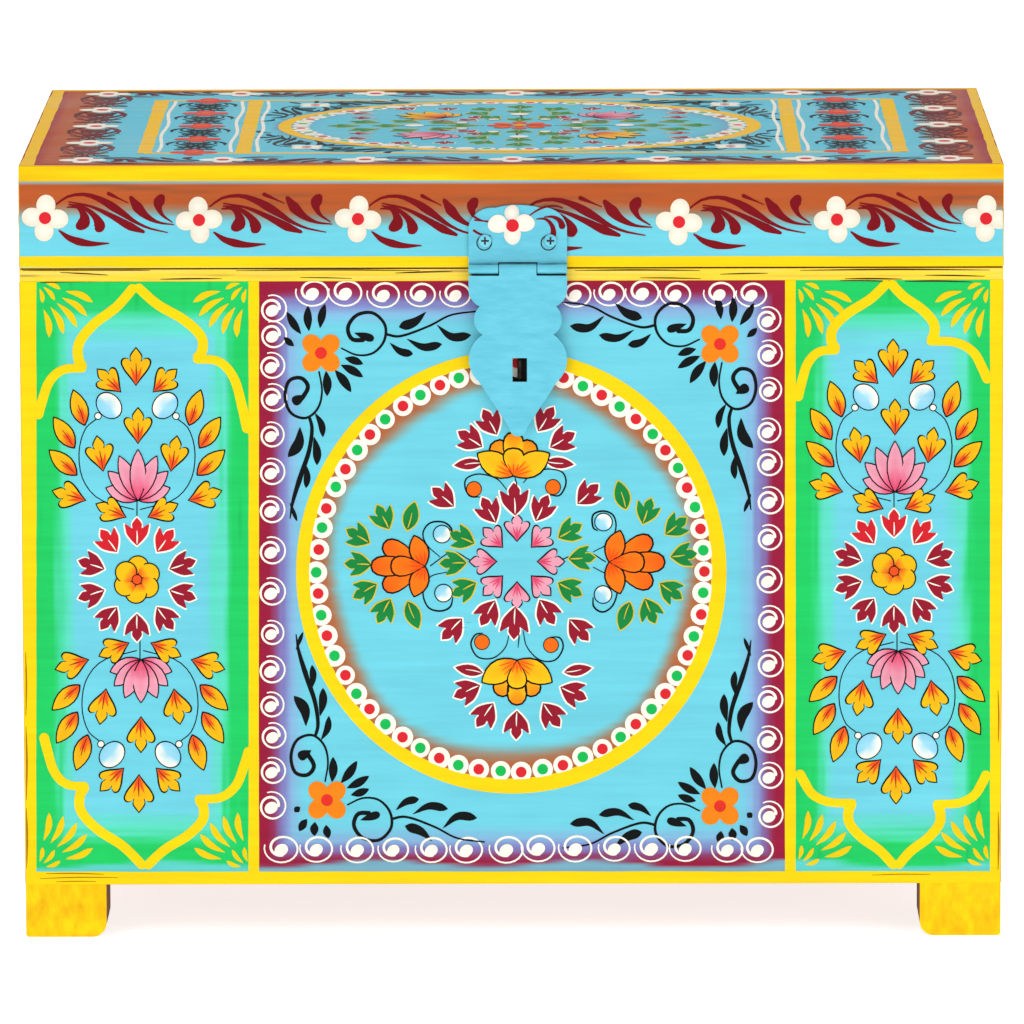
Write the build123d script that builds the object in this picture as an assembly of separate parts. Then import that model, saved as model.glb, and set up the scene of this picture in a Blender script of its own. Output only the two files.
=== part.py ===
from build123d import *
import os

# A hinged wooden box for papers and keepsakes. X runs along the front, the front faces -Y and +Z is up.
# The origin is on the floor, midway between the four feet. All sizes are in millimetres.

# Overall size of the closed box
BOX_WIDTH = 406.0
BOX_DEPTH = 280.0

# Boards of the lower box
WALL_THICKNESS = 12.0
BOARD_HEIGHT = 253.3
BOTTOM_THICKNESS = 9.0

# Lipping that covers the upper edges of the boards
RIM_THICKNESS = 4.9

# Lid, a nailed frame with one board on top
PARTING_GAP = 0.6
RAIL_THICKNESS = 12.0
RAIL_HEIGHT = 36.2
LID_BOARD_THICKNESS = 6.2

# Feet, one block under each corner
FOOT_HEIGHT = 22.2
FOOT_WIDTH = 33.6
FOOT_DEPTH = 37.0
FOOT_INNER_RADIUS = 6.0
FOOT_OUTER_RADIUS = 1.4

# Wire nails, set flush with the wood
NAIL_RADIUS = 1.0
NAIL_HEAD_RADIUS = 2.0
NAIL_HEAD_THICKNESS = 0.8
NAIL_BITE = 16.0
NAIL_SLACK = 0.05
CORNER_NAILS = 4
BOTTOM_LONG_NAILS = 4
BOTTOM_SHORT_NAILS = 3
RIM_LONG_NAILS = 5
RIM_SHORT_NAILS = 4
LID_CORNER_NAILS = 2
TOP_LONG_NAILS = 5
TOP_SHORT_NAILS = 4
NAIL_EDGE_MARGIN = 24.0
RAIL_NAIL_MARGIN = 9.0
RIM_NAIL_BITE = 12.0
FOOT_NAIL_SPACING = 16.0
FOOT_NAIL_BITE = 5.0

# Sheet-metal hardware shared by the hasp and the hinges
PLATE_THICKNESS = 1.2
KNUCKLE_RADIUS = 2.2
PIN_RADIUS = 1.1
PIN_SLACK = 0.05
PIN_STAND_OFF = 2.5
KNUCKLE_GAP = 0.4

# Screws of the hasp and the hinges
SCREW_SHANK_RADIUS = 1.3
SCREW_SHANK_LENGTH = 9.0
SCREW_HEAD_RADIUS = 2.7
SCREW_HEAD_HEIGHT = 1.0
SCREW_HEAD_ROUND = 0.6
SCREW_RECESS_LENGTH = 3.2
SCREW_RECESS_WIDTH = 0.8
SCREW_RECESS_DEPTH = 0.6
SCREW_HOLE_SLACK = 0.15
SCREW_PILOT_SLACK = 0.05

# Hasp on the front, a little to the right of the middle
HASP_X = 2.7
HASP_WIDTH = 40.6
HASP_MIDDLE_KNUCKLE = 15.4
HASP_LEAF_HEIGHT = 26.4
HASP_SHOULDER_RISE = 8.0
HASP_SHOULDER_RUN = 11.0
HASP_CROWN_RISE = 1.2
HASP_SCREW_SPACING = 27.0
HASP_SCREW_RISE = 11.6

# Outline of the hasp strap, as half width and drop below the pin
STRAP_SIDE_DROP = 7.5
STRAP_FIRST_SWELL = (19.1, 12.4)
STRAP_FIRST_CUSP = (15.7, 15.3)
STRAP_SECOND_SWELL = (18.1, 20.8)
STRAP_SECOND_CUSP = (14.6, 27.1)
STRAP_THIRD_SWELL = (20.2, 36.2)
STRAP_TAPER_START = (16.1, 46.7)
STRAP_TAPER_END = (3.6, 66.0)
STRAP_LENGTH = 69.5
SLOT_WIDTH = 6.0
SLOT_HEIGHT = 9.9
SLOT_CENTRE_DROP = 41.8
SLOT_SHIFT = 0.7

# Wire staple that shows through the slot, driven through the front board and clinched inside
STAPLE_WIRE_RADIUS = 1.0
STAPLE_SPAN = 6.6
STAPLE_CLINCH = 6.0
STAPLE_SLACK = 0.05
STAPLE_STRAP_GAP = 0.3
STAPLE_SEAT_GAP = 0.1

# Two butt hinges on the back, laid on the face of the wood
HINGE_OFFSET = 118.0
HINGE_LENGTH = 40.0
HINGE_MIDDLE_KNUCKLE = 14.0
HINGE_LEAF_HEIGHT = 17.0
HINGE_CORNER_RADIUS = 2.0
HINGE_SCREW_SPACING = 25.0
HINGE_SCREW_RISE = 10.5

# Planes that the pieces share
SIDE_X = BOX_WIDTH / 2
FRONT_Y = -BOX_DEPTH / 2
BACK_Y = BOX_DEPTH / 2
INNER_X = SIDE_X - WALL_THICKNESS
INNER_Y = BACK_Y - WALL_THICKNESS
RAIL_INNER_X = SIDE_X - RAIL_THICKNESS
RAIL_INNER_Y = BACK_Y - RAIL_THICKNESS
BOARD_LOW_Z = FOOT_HEIGHT
BOARD_TOP_Z = BOARD_LOW_Z + BOARD_HEIGHT
BOTTOM_TOP_Z = BOARD_LOW_Z + BOTTOM_THICKNESS
RIM_TOP_Z = BOARD_TOP_Z + RIM_THICKNESS
LID_LOW_Z = RIM_TOP_Z + PARTING_GAP
RAIL_TOP_Z = LID_LOW_Z + RAIL_HEIGHT
LID_TOP_Z = RAIL_TOP_Z + LID_BOARD_THICKNESS
PIN_Z = (RIM_TOP_Z + LID_LOW_Z) / 2

FORWARD = (0, -1, 0)
BACKWARD = (0, 1, 0)
LEFTWARD = (-1, 0, 0)
RIGHTWARD = (1, 0, 0)
UPWARD = (0, 0, 1)
DOWNWARD = (0, 0, -1)
FROM_BASE = (Align.CENTER, Align.CENTER, Align.MIN)


def block(x, y, z):
    """A rectangular solid between a low and a high plane on each axis."""
    spans = (x, y, z)
    centre = [(low + high) / 2 for low, high in spans]
    return Pos(*centre) * Box(*[high - low for low, high in spans])


def spread(count, low, high):
    """Evenly spaced places from low to high."""
    return [low + (high - low) * i / (count - 1) for i in range(count)]


# Nails
def nail(point, inward, length, slack=0.0):
    """A flat-headed nail, or the hole for it where slack is given. The head is flush with the wood at point."""
    seat = Plane(origin=point, z_dir=inward)
    head = seat * Cylinder(NAIL_HEAD_RADIUS + slack, NAIL_HEAD_THICKNESS, align=FROM_BASE)
    shank = seat * Cylinder(NAIL_RADIUS + slack, length + slack, align=FROM_BASE)
    return head + shank


def nails(places):
    """One node of separate nails."""
    return Compound(children=[nail(*place) for place in places])


def drilled(board, *groups):
    """A board with a hole for each nail of the groups that reaches it."""
    box = board.bounding_box()
    for place in [place for group in groups for place in group]:
        hole = nail(*place, slack=NAIL_SLACK)
        if hole.bounding_box().overlaps(box):
            board = board - hole
    return board


def corner_nail_places(count, low_z, high_z, wall):
    """Nails through the front and back into the ends of the side pieces."""
    heights = spread(count, low_z, high_z)
    return [
        ((side * (SIDE_X - wall / 2), face * BACK_Y, z), (0, -face, 0), wall + NAIL_BITE)
        for side in (-1, 1)
        for face in (-1, 1)
        for z in heights
    ]


def ring_places(long_count, short_count, wall, z, length):
    """Nails driven down around a frame, along the middle of its four pieces."""
    long_x = SIDE_X - NAIL_EDGE_MARGIN
    short_y = BACK_Y - NAIL_EDGE_MARGIN - wall
    row_y = BACK_Y - wall / 2
    row_x = SIDE_X - wall / 2
    long_rows = [(x, face * row_y, z) for face in (-1, 1) for x in spread(long_count, -long_x, long_x)]
    short_rows = [(side * row_x, y, z) for side in (-1, 1) for y in spread(short_count, -short_y, short_y)]
    return [(point, DOWNWARD, length) for point in long_rows + short_rows]


def bottom_nail_places():
    """Nails through the four walls into the edges of the bottom board."""
    middle_z = (BOARD_LOW_Z + BOTTOM_TOP_Z) / 2
    long_x = INNER_X - NAIL_EDGE_MARGIN
    short_y = INNER_Y - NAIL_EDGE_MARGIN
    length = WALL_THICKNESS + NAIL_BITE
    places = []
    for x in spread(BOTTOM_LONG_NAILS, -long_x, long_x):
        places.append(((x, FRONT_Y, middle_z), BACKWARD, length))
        places.append(((x, BACK_Y, middle_z), FORWARD, length))
    for y in spread(BOTTOM_SHORT_NAILS, -short_y, short_y):
        places.append(((-SIDE_X, y, middle_z), RIGHTWARD, length))
        places.append(((SIDE_X, y, middle_z), LEFTWARD, length))
    return places


def foot_nail_places():
    """Two nails up through each foot into the box above it."""
    return [
        (
            (side * (SIDE_X - FOOT_WIDTH / 2), face * (BACK_Y - WALL_THICKNESS / 2 - shift), 0.0),
            UPWARD,
            FOOT_HEIGHT + FOOT_NAIL_BITE,
        )
        for side in (-1, 1)
        for face in (-1, 1)
        for shift in (0.0, FOOT_NAIL_SPACING)
    ]


WALL_NAILS = corner_nail_places(
    CORNER_NAILS, BOARD_LOW_Z + NAIL_EDGE_MARGIN, BOARD_TOP_Z - NAIL_EDGE_MARGIN, WALL_THICKNESS
)
BOTTOM_NAILS = bottom_nail_places()
RIM_NAILS = ring_places(RIM_LONG_NAILS, RIM_SHORT_NAILS, WALL_THICKNESS, RIM_TOP_Z, RIM_THICKNESS + RIM_NAIL_BITE)
FOOT_NAILS = foot_nail_places()
RAIL_NAILS = corner_nail_places(
    LID_CORNER_NAILS, LID_LOW_Z + RAIL_NAIL_MARGIN, RAIL_TOP_Z - RAIL_NAIL_MARGIN, RAIL_THICKNESS
)
TOP_NAILS = ring_places(
    TOP_LONG_NAILS, TOP_SHORT_NAILS, RAIL_THICKNESS, LID_TOP_Z, LID_BOARD_THICKNESS + RIM_NAIL_BITE
)


# Screws
def screw_head_recess(seat):
    """The cross in the head of a screw, cut down from its crown."""
    top = seat * Pos(0, 0, SCREW_HEAD_HEIGHT)
    size = (SCREW_RECESS_LENGTH, SCREW_RECESS_WIDTH, 2 * SCREW_RECESS_DEPTH)
    return top * Box(*size) + top * Rot(0, 0, 90) * Box(*size)


def screw(point, outward):
    """A round-headed screw. The underside of its head is at point and it points away from outward."""
    seat = Plane(origin=point, z_dir=outward)
    head = Cylinder(SCREW_HEAD_RADIUS, SCREW_HEAD_HEIGHT, align=FROM_BASE)
    crown = head.edges().group_by(Axis.Z)[-1]
    head = seat * fillet(crown, min(SCREW_HEAD_ROUND, SCREW_HEAD_HEIGHT / 2))
    shank = seat * Pos(0, 0, -SCREW_SHANK_LENGTH) * Cylinder(SCREW_SHANK_RADIUS, SCREW_SHANK_LENGTH, align=FROM_BASE)
    return head + shank - screw_head_recess(seat)


def screw_bore(point, outward, slack):
    """The hole that a screw goes through or into, open on both sides of the sheet metal."""
    seat = Plane(origin=point, z_dir=outward)
    reach = SCREW_SHANK_LENGTH + slack
    hole = Cylinder(SCREW_SHANK_RADIUS + slack, reach + PLATE_THICKNESS, align=FROM_BASE)
    return seat * Pos(0, 0, -reach) * hole


def screwed(board, points, outward):
    """A board with a pilot hole for each screw."""
    for point in points:
        board = board - screw_bore(point, outward, SCREW_PILOT_SLACK)
    return board


# Sheet-metal leaves and their knuckles
def knuckle(x, span, z, bore_only=False):
    """One rolled knuckle along X, or its bore, centred on the pin line of a face at Y zero."""
    radius = PIN_RADIUS + PIN_SLACK if bore_only else KNUCKLE_RADIUS
    return Pos(x, -PIN_STAND_OFF, z) * Rot(0, 90, 0) * Cylinder(radius, span)


def outer_knuckles(width, middle):
    """Centre and length of the two knuckles either side of a middle one."""
    span = (width - middle) / 2 - KNUCKLE_GAP
    centre = (width - span) / 2
    return [(-centre, span), (centre, span)]


def sheet_leaf(outline, knuckles, plate_y, up):
    """A flat leaf whose sheet runs into its knuckles. The wood is at Y zero, the pin at Z zero, and up is 1 or -1."""
    plate = extrude(Plane.XZ * outline, PLATE_THICKNESS)
    plate = Pos(0, plate_y, 0) * plate
    start = KNUCKLE_RADIUS + KNUCKLE_GAP
    leaf = plate
    for x, span in knuckles:
        neck_z = sorted((0.0, up * start))
        leaf = leaf + block((x - span / 2, x + span / 2), (plate_y - PLATE_THICKNESS, plate_y), neck_z)
        leaf = leaf + knuckle(x, span, 0.0)
    return leaf - knuckle(0.0, 2 * BOX_WIDTH, 0.0, bore_only=True)


def pin(x, y, length):
    """A hinge pin along X."""
    return Pos(x, y, PIN_Z) * Rot(0, 90, 0) * Cylinder(PIN_RADIUS, length)


# Hasp
def hasp_leaf_outline():
    """The upper leaf: straight sides, round shoulders and a slightly arched top."""
    half = HASP_WIDTH / 2
    start = KNUCKLE_RADIUS + KNUCKLE_GAP
    crown = HASP_LEAF_HEIGHT - HASP_CROWN_RISE
    side = crown - HASP_SHOULDER_RISE
    flat = half - HASP_SHOULDER_RUN
    bend = 2 ** -0.5
    mid_x = flat + HASP_SHOULDER_RUN * bend
    mid_z = side + HASP_SHOULDER_RISE * bend
    lines = [
        Line((-half, start), (half, start)),
        Line((half, start), (half, side)),
        ThreePointArc((half, side), (mid_x, mid_z), (flat, crown)),
        ThreePointArc((flat, crown), (0, HASP_LEAF_HEIGHT), (-flat, crown)),
        ThreePointArc((-flat, crown), (-mid_x, mid_z), (-half, side)),
        Line((-half, side), (-half, start)),
    ]
    return make_face(lines)


def strap_outline():
    """The strap: straight cheeks, three swells between cusps, and a taper to a round tip."""
    half = HASP_WIDTH / 2
    start = KNUCKLE_RADIUS + KNUCKLE_GAP

    def side(sign):
        def at(point):
            return (sign * point[0], -point[1])

        return [
            Line(at((half, start)), at((half, STRAP_SIDE_DROP))),
            ThreePointArc(at((half, STRAP_SIDE_DROP)), at(STRAP_FIRST_SWELL), at(STRAP_FIRST_CUSP)),
            ThreePointArc(at(STRAP_FIRST_CUSP), at(STRAP_SECOND_SWELL), at(STRAP_SECOND_CUSP)),
            ThreePointArc(at(STRAP_SECOND_CUSP), at(STRAP_THIRD_SWELL), at(STRAP_TAPER_START)),
            Line(at(STRAP_TAPER_START), at(STRAP_TAPER_END)),
        ]

    end_x, end_drop = STRAP_TAPER_END
    tip = ThreePointArc((end_x, -end_drop), (0, -STRAP_LENGTH), (-end_x, -end_drop))
    top = Line((-half, -start), (half, -start))
    return make_face([*side(1), tip, *side(-1), top])


def hasp_screw_points():
    """Where the two screws of the upper leaf bear on it, with the wood at Y zero and the pin at Z zero."""
    half = HASP_SCREW_SPACING / 2
    return [(x, -PLATE_THICKNESS, HASP_SCREW_RISE) for x in (-half, half)]


def hasp_leaf():
    """The leaf that is screwed to the lid, with the two outer knuckles."""
    leaf = sheet_leaf(hasp_leaf_outline(), outer_knuckles(HASP_WIDTH, HASP_MIDDLE_KNUCKLE), 0.0, 1)
    for point in hasp_screw_points():
        leaf = leaf - screw_bore(point, FORWARD, SCREW_HOLE_SLACK)
    return leaf


def hasp_strap():
    """The swinging strap, which stands off the wood and has a slot for a staple."""
    stand_off = PIN_STAND_OFF + KNUCKLE_RADIUS - PLATE_THICKNESS
    strap = sheet_leaf(strap_outline(), [(0.0, HASP_MIDDLE_KNUCKLE)], -stand_off, -1)
    slot = Pos(SLOT_SHIFT, -stand_off, -SLOT_CENTRE_DROP) * Box(SLOT_WIDTH, 4 * PLATE_THICKNESS, SLOT_HEIGHT)
    return strap - slot


def wire(start, end, radius):
    """A straight round wire between two points."""
    run = Vector(*end) - Vector(*start)
    return Plane(origin=start, z_dir=tuple(run)) * Cylinder(radius, run.length, align=FROM_BASE)


def staple(slack=0.0):
    """A bar behind the strap on two legs that are clinched on the inside, or only its two leg holes."""
    stand_off = PIN_STAND_OFF + KNUCKLE_RADIUS - PLATE_THICKNESS
    bar_y = -(stand_off - STAPLE_STRAP_GAP - STAPLE_WIRE_RADIUS)
    inside_y = WALL_THICKNESS + STAPLE_SEAT_GAP + STAPLE_WIRE_RADIUS
    half = STAPLE_SPAN / 2
    radius = STAPLE_WIRE_RADIUS + slack
    legs = [wire((0, bar_y, z), (0, inside_y, z), radius) for z in (-half, half)]
    if slack:
        return legs[0] + legs[1]
    body = wire((0, bar_y, -half), (0, bar_y, half), radius) + legs[0] + legs[1]
    for z in (-half, half):
        tip_z = z + (STAPLE_CLINCH if z > 0 else -STAPLE_CLINCH)
        body = body + wire((0, inside_y, z), (0, inside_y, tip_z), radius)
        body = body + Pos(0, bar_y, z) * Sphere(radius) + Pos(0, inside_y, z) * Sphere(radius)
    return body


HASP_PLACE = Pos(HASP_X, FRONT_Y, PIN_Z)
STAPLE_PLACE = HASP_PLACE * Pos(SLOT_SHIFT, 0, -SLOT_CENTRE_DROP)


def placed_points(place, points):
    """Local points carried to the box by a location."""
    return [tuple((place * Pos(*point)).position) for point in points]


HASP_SCREWS = placed_points(HASP_PLACE, hasp_screw_points())


# Hinges
def hinge_outline(up):
    """A plain leaf with two rounded corners away from the knuckles."""
    start = KNUCKLE_RADIUS + KNUCKLE_GAP
    height = HINGE_LEAF_HEIGHT - start
    middle = up * (start + height / 2)
    leaf = Pos(0, middle) * Rectangle(HINGE_LENGTH, height)
    far = leaf.vertices().sort_by(Axis.Y)
    far = far[-2:] if up > 0 else far[:2]
    return fillet(far, HINGE_CORNER_RADIUS)


def hinge_screw_points(up):
    """Where the two screws of one leaf bear on it."""
    half = HINGE_SCREW_SPACING / 2
    return [(x, -PLATE_THICKNESS, up * HINGE_SCREW_RISE) for x in (-half, half)]


def hinge_leaf(up):
    """The lid's leaf has the middle knuckle, and the body's leaf the two outer ones."""
    middle = [(0.0, HINGE_MIDDLE_KNUCKLE)]
    knuckles = middle if up > 0 else outer_knuckles(HINGE_LENGTH, HINGE_MIDDLE_KNUCKLE)
    leaf = sheet_leaf(hinge_outline(up), knuckles, 0.0, up)
    for point in hinge_screw_points(up):
        leaf = leaf - screw_bore(point, FORWARD, SCREW_HOLE_SLACK)
    return leaf


def hinge_place(side):
    """The hinge's own front turned to face backwards, on the back of the box."""
    return Pos(side * HINGE_OFFSET, BACK_Y, PIN_Z) * Rot(0, 0, 180)


HINGE_PLACES = {"left": hinge_place(-1), "right": hinge_place(1)}
HINGE_BODY_SCREWS = [p for place in HINGE_PLACES.values() for p in placed_points(place, hinge_screw_points(-1))]
HINGE_LID_SCREWS = [p for place in HINGE_PLACES.values() for p in placed_points(place, hinge_screw_points(1))]


# Lower box
def front_board():
    board = block((-SIDE_X, SIDE_X), (FRONT_Y, -INNER_Y), (BOARD_LOW_Z, BOARD_TOP_Z))
    board = drilled(board, WALL_NAILS, BOTTOM_NAILS, RIM_NAILS, FOOT_NAILS)
    return board - STAPLE_PLACE * staple(STAPLE_SLACK)


def back_board():
    board = block((-SIDE_X, SIDE_X), (INNER_Y, BACK_Y), (BOARD_LOW_Z, BOARD_TOP_Z))
    board = drilled(board, WALL_NAILS, BOTTOM_NAILS, RIM_NAILS, FOOT_NAILS)
    return screwed(board, HINGE_BODY_SCREWS, BACKWARD)


def side_board(side):
    x = sorted((side * INNER_X, side * SIDE_X))
    board = block(x, (-INNER_Y, INNER_Y), (BOARD_LOW_Z, BOARD_TOP_Z))
    return drilled(board, WALL_NAILS, BOTTOM_NAILS, RIM_NAILS, FOOT_NAILS)


def bottom_board():
    board = block((-INNER_X, INNER_X), (-INNER_Y, INNER_Y), (BOARD_LOW_Z, BOTTOM_TOP_Z))
    return drilled(board, BOTTOM_NAILS, FOOT_NAILS)


def long_rim(face):
    y = sorted((face * INNER_Y, face * BACK_Y))
    return drilled(block((-SIDE_X, SIDE_X), y, (BOARD_TOP_Z, RIM_TOP_Z)), RIM_NAILS)


def short_rim(side):
    x = sorted((side * INNER_X, side * SIDE_X))
    return drilled(block(x, (-INNER_Y, INNER_Y), (BOARD_TOP_Z, RIM_TOP_Z)), RIM_NAILS)


def foot(side, face):
    """A block whose inner lower edge is well rounded and whose outer lower edge is just eased."""
    x = sorted((side * SIDE_X, side * (SIDE_X - FOOT_WIDTH)))
    y = sorted((face * BACK_Y, face * (BACK_Y - FOOT_DEPTH)))
    body = block(x, y, (0.0, FOOT_HEIGHT))
    lower = body.edges().filter_by(Axis.Y).group_by(Axis.Z)[0].sort_by(Axis.X)
    inner, outer = (lower[1], lower[0]) if side < 0 else (lower[0], lower[1])
    inner_length = min(FOOT_INNER_RADIUS, FOOT_HEIGHT / 2)
    body = fillet(inner, inner_length)
    outer_edges = body.edges().filter_by(Axis.Y).group_by(Axis.Z)[0].sort_by(Axis.X)
    outer = outer_edges[0] if side < 0 else outer_edges[-1]
    body = fillet(outer, FOOT_OUTER_RADIUS)
    return drilled(body, FOOT_NAILS)


# Lid
def lid_top():
    board = block((-SIDE_X, SIDE_X), (FRONT_Y, BACK_Y), (RAIL_TOP_Z, LID_TOP_Z))
    return drilled(board, TOP_NAILS)


def lid_front_rail():
    rail = block((-SIDE_X, SIDE_X), (FRONT_Y, -RAIL_INNER_Y), (LID_LOW_Z, RAIL_TOP_Z))
    return screwed(drilled(rail, RAIL_NAILS, TOP_NAILS), HASP_SCREWS, FORWARD)


def lid_back_rail():
    rail = block((-SIDE_X, SIDE_X), (RAIL_INNER_Y, BACK_Y), (LID_LOW_Z, RAIL_TOP_Z))
    return screwed(drilled(rail, RAIL_NAILS, TOP_NAILS), HINGE_LID_SCREWS, BACKWARD)


def lid_side_rail(side):
    x = sorted((side * RAIL_INNER_X, side * SIDE_X))
    rail = block(x, (-RAIL_INNER_Y, RAIL_INNER_Y), (LID_LOW_Z, RAIL_TOP_Z))
    return drilled(rail, RAIL_NAILS, TOP_NAILS)


def screws(points, outward):
    """One node of separate screws."""
    return Compound(children=[screw(point, outward) for point in points])


PARTS = {
    "front_board": front_board(),
    "back_board": back_board(),
    "left_board": side_board(-1),
    "right_board": side_board(1),
    "bottom_board": bottom_board(),
    "rim_front": long_rim(-1),
    "rim_back": long_rim(1),
    "rim_left": short_rim(-1),
    "rim_right": short_rim(1),
    "foot_front_left": foot(-1, -1),
    "foot_front_right": foot(1, -1),
    "foot_back_left": foot(-1, 1),
    "foot_back_right": foot(1, 1),
    "wall_nails": nails(WALL_NAILS),
    "bottom_nails": nails(BOTTOM_NAILS),
    "rim_nails": nails(RIM_NAILS),
    "foot_nails": nails(FOOT_NAILS),
    "lid_top": lid_top(),
    "lid_front_rail": lid_front_rail(),
    "lid_back_rail": lid_back_rail(),
    "lid_left_rail": lid_side_rail(-1),
    "lid_right_rail": lid_side_rail(1),
    "lid_corner_nails": nails(RAIL_NAILS),
    "lid_top_nails": nails(TOP_NAILS),
    "hasp_leaf": HASP_PLACE * hasp_leaf(),
    "hasp_strap": HASP_PLACE * hasp_strap(),
    "hasp_pin": pin(HASP_X, FRONT_Y - PIN_STAND_OFF, HASP_WIDTH),
    "staple": STAPLE_PLACE * staple(),
    "hasp_screws": screws(HASP_SCREWS, FORWARD),
    "hinge_body_screws": screws(HINGE_BODY_SCREWS, BACKWARD),
    "hinge_lid_screws": screws(HINGE_LID_SCREWS, BACKWARD),
}
for name, place in HINGE_PLACES.items():
    PARTS[f"hinge_{name}_body_leaf"] = place * hinge_leaf(-1)
    PARTS[f"hinge_{name}_lid_leaf"] = place * hinge_leaf(1)
    PARTS[f"hinge_{name}_pin"] = pin(place.position.X, BACK_Y + PIN_STAND_OFF, HINGE_LENGTH)

os.makedirs("parts", exist_ok=True)
for name, part in PARTS.items():
    export_step(part, f"parts/{name}.step")
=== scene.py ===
# %% [markdown]
# # A hand-painted wooden box
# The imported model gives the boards, feet, lid, hinges and hasp, all in place and in metres.
# This file paints them as the painter did: a ground coat on each face, then stroke over stroke.
# A flat picture laid on the boards could show the same pattern. Here every coat is real geometry, a thin
# skin with thin raised strokes, petals and dots on it, because it stays sharp from close by and each
# stroke can be moved by changing a number. Colours sit on the vertices, so one shape can fade from red to
# yellow as a loaded brush does.

# %% Load the frame
import math

import bmesh
import bpy
import numpy as np
from mathutils import Matrix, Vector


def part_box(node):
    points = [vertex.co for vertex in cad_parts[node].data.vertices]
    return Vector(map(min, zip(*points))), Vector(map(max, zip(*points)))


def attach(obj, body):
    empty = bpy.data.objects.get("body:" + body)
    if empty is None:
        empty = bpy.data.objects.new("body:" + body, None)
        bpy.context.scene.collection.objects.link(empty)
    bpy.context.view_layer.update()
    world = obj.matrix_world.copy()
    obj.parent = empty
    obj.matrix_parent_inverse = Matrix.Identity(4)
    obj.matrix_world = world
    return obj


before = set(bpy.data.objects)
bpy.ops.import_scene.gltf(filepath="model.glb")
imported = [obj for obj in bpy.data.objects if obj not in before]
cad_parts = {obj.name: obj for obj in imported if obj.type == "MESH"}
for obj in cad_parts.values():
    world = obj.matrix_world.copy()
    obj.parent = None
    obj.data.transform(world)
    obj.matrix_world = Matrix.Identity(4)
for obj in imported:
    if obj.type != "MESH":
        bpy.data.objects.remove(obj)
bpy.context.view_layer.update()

# %% [markdown]
# ## Sizes
# A painter works on the boards as they are. The sizes could be typed in again, but reading the faces from
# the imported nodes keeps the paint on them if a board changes. All lengths below are in millimetres.

# %% Faces of the box
LOW, HIGH = np.array(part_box("front_board")) * 1000
LEFT_X, RIGHT_X = LOW[0], HIGH[0]
FRONT_Y = LOW[1]
BACK_Y = np.array(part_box("back_board"))[1][1] * 1000
BODY_LOW_Z, BODY_TOP_Z = LOW[2], HIGH[2]
RAIL_LOW_Z, RAIL_TOP_Z = np.array(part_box("lid_front_rail"))[:, 2] * 1000
RIM_TOP_Z = np.array(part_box("rim_front"))[1][2] * 1000
LID_TOP_Z = np.array(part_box("lid_top"))[1][2] * 1000
HALF_WIDTH = (RIGHT_X - LEFT_X) / 2
HALF_DEPTH = (BACK_Y - FRONT_Y) / 2
SKIN = 0.10          # thickness of a ground coat
LAYER = 0.06         # one more brush stroke on top
SINK = 0.02          # how far each stroke reaches into the paint below it
HAIR = 0.0011        # each shape lies this much higher than the last,
HAIR_STEPS = 17      # and the heights start again after this many shapes
SHOULDER = 0.6       # the rim of a petal stands this share of a layer high, its middle a whole layer
FLAT_SHARE = 0.86    # share of a stroke's width that is flat on top
EDGE = 0.25          # a coat stops this far from the arris of its board
UNIT = 0.4142        # one point of the photograph, on the front face
print("box front:", RIGHT_X - LEFT_X, "mm wide,", LID_TOP_Z, "mm high,", BACK_Y - FRONT_Y, "mm deep")

# %% [markdown]
# ## The camera
# The camera stands where the photograph's did: about 4.3 m off with a long lens, a little above the lid.
# It could be placed by eye. These values were fitted to the corners of the box instead, so a line of sight
# through a point of the photograph also finds the right place on a board, which the front's layout uses.

# %% Camera
CAMERA_PLACE = np.array([21.7, -4291.3, 823.9])
YAW, PITCH, ROLL = np.radians([0.2993, 8.8318, -0.1624])
FOCAL_POINTS = 10146.2
FRAME_POINTS = 1024

camera_data = bpy.data.cameras.new("camera")
camera_data.sensor_width = 36.0
camera_data.lens = FOCAL_POINTS / FRAME_POINTS * camera_data.sensor_width
camera_data.clip_end = 50
camera = bpy.data.objects.new("camera", camera_data)
bpy.context.scene.collection.objects.link(camera)
camera.matrix_world = (
    Matrix.Translation(CAMERA_PLACE / 1000)
    @ Matrix.Rotation(YAW, 4, "Z")
    @ Matrix.Rotation(math.pi / 2 - PITCH, 4, "X")
    @ Matrix.Rotation(ROLL, 4, "Z")
)
bpy.context.scene.camera = camera
print("camera", [round(float(v) / 1000, 3) for v in CAMERA_PLACE], "m, lens", round(camera_data.lens, 1), "mm")

# %% Lines of sight


def sight(points, axis, level):
    """Where the lines of sight through points of the photograph meet the plane at level on that axis.

    A line of sight starts at the camera. Turning the picture point back by roll, pitch and yaw gives its
    direction, and the step to the plane is (level - start) / direction along the axis.
    """
    points = np.atleast_2d(np.asarray(points, float)) - FRAME_POINTS / 2
    c, s = math.cos(ROLL), math.sin(ROLL)
    u = (points[:, 0] * c + points[:, 1] * s) / FOCAL_POINTS
    v = (-points[:, 0] * s + points[:, 1] * c) / FOCAL_POINTS
    c, s = math.cos(PITCH), math.sin(PITCH)
    ahead, up = c - v * s, -s - v * c
    c, s = math.cos(YAW), math.sin(YAW)
    ray = np.stack([u * c - ahead * s, u * s + ahead * c, up], 1)
    step = (level - CAMERA_PLACE[axis]) / ray[:, axis]
    return CAMERA_PLACE + ray * step[:, None]


# %% [markdown]
# ## Colours
# The box is painted with a few bright enamels, straight from the tin or mixed on the brush. Each one is
# written as sRGB hex, as a paint program shows it. Mixing could be done in linear light, but mixed as sRGB
# a fade looks as even as brushed paint does. One function turns colours to linear when a mesh is made.

# %% Palette


def hex_rgb(code):
    """sRGB hex as three numbers from 0 to 1."""
    return np.array([int(code[i : i + 2], 16) for i in (1, 3, 5)]) / 255


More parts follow.
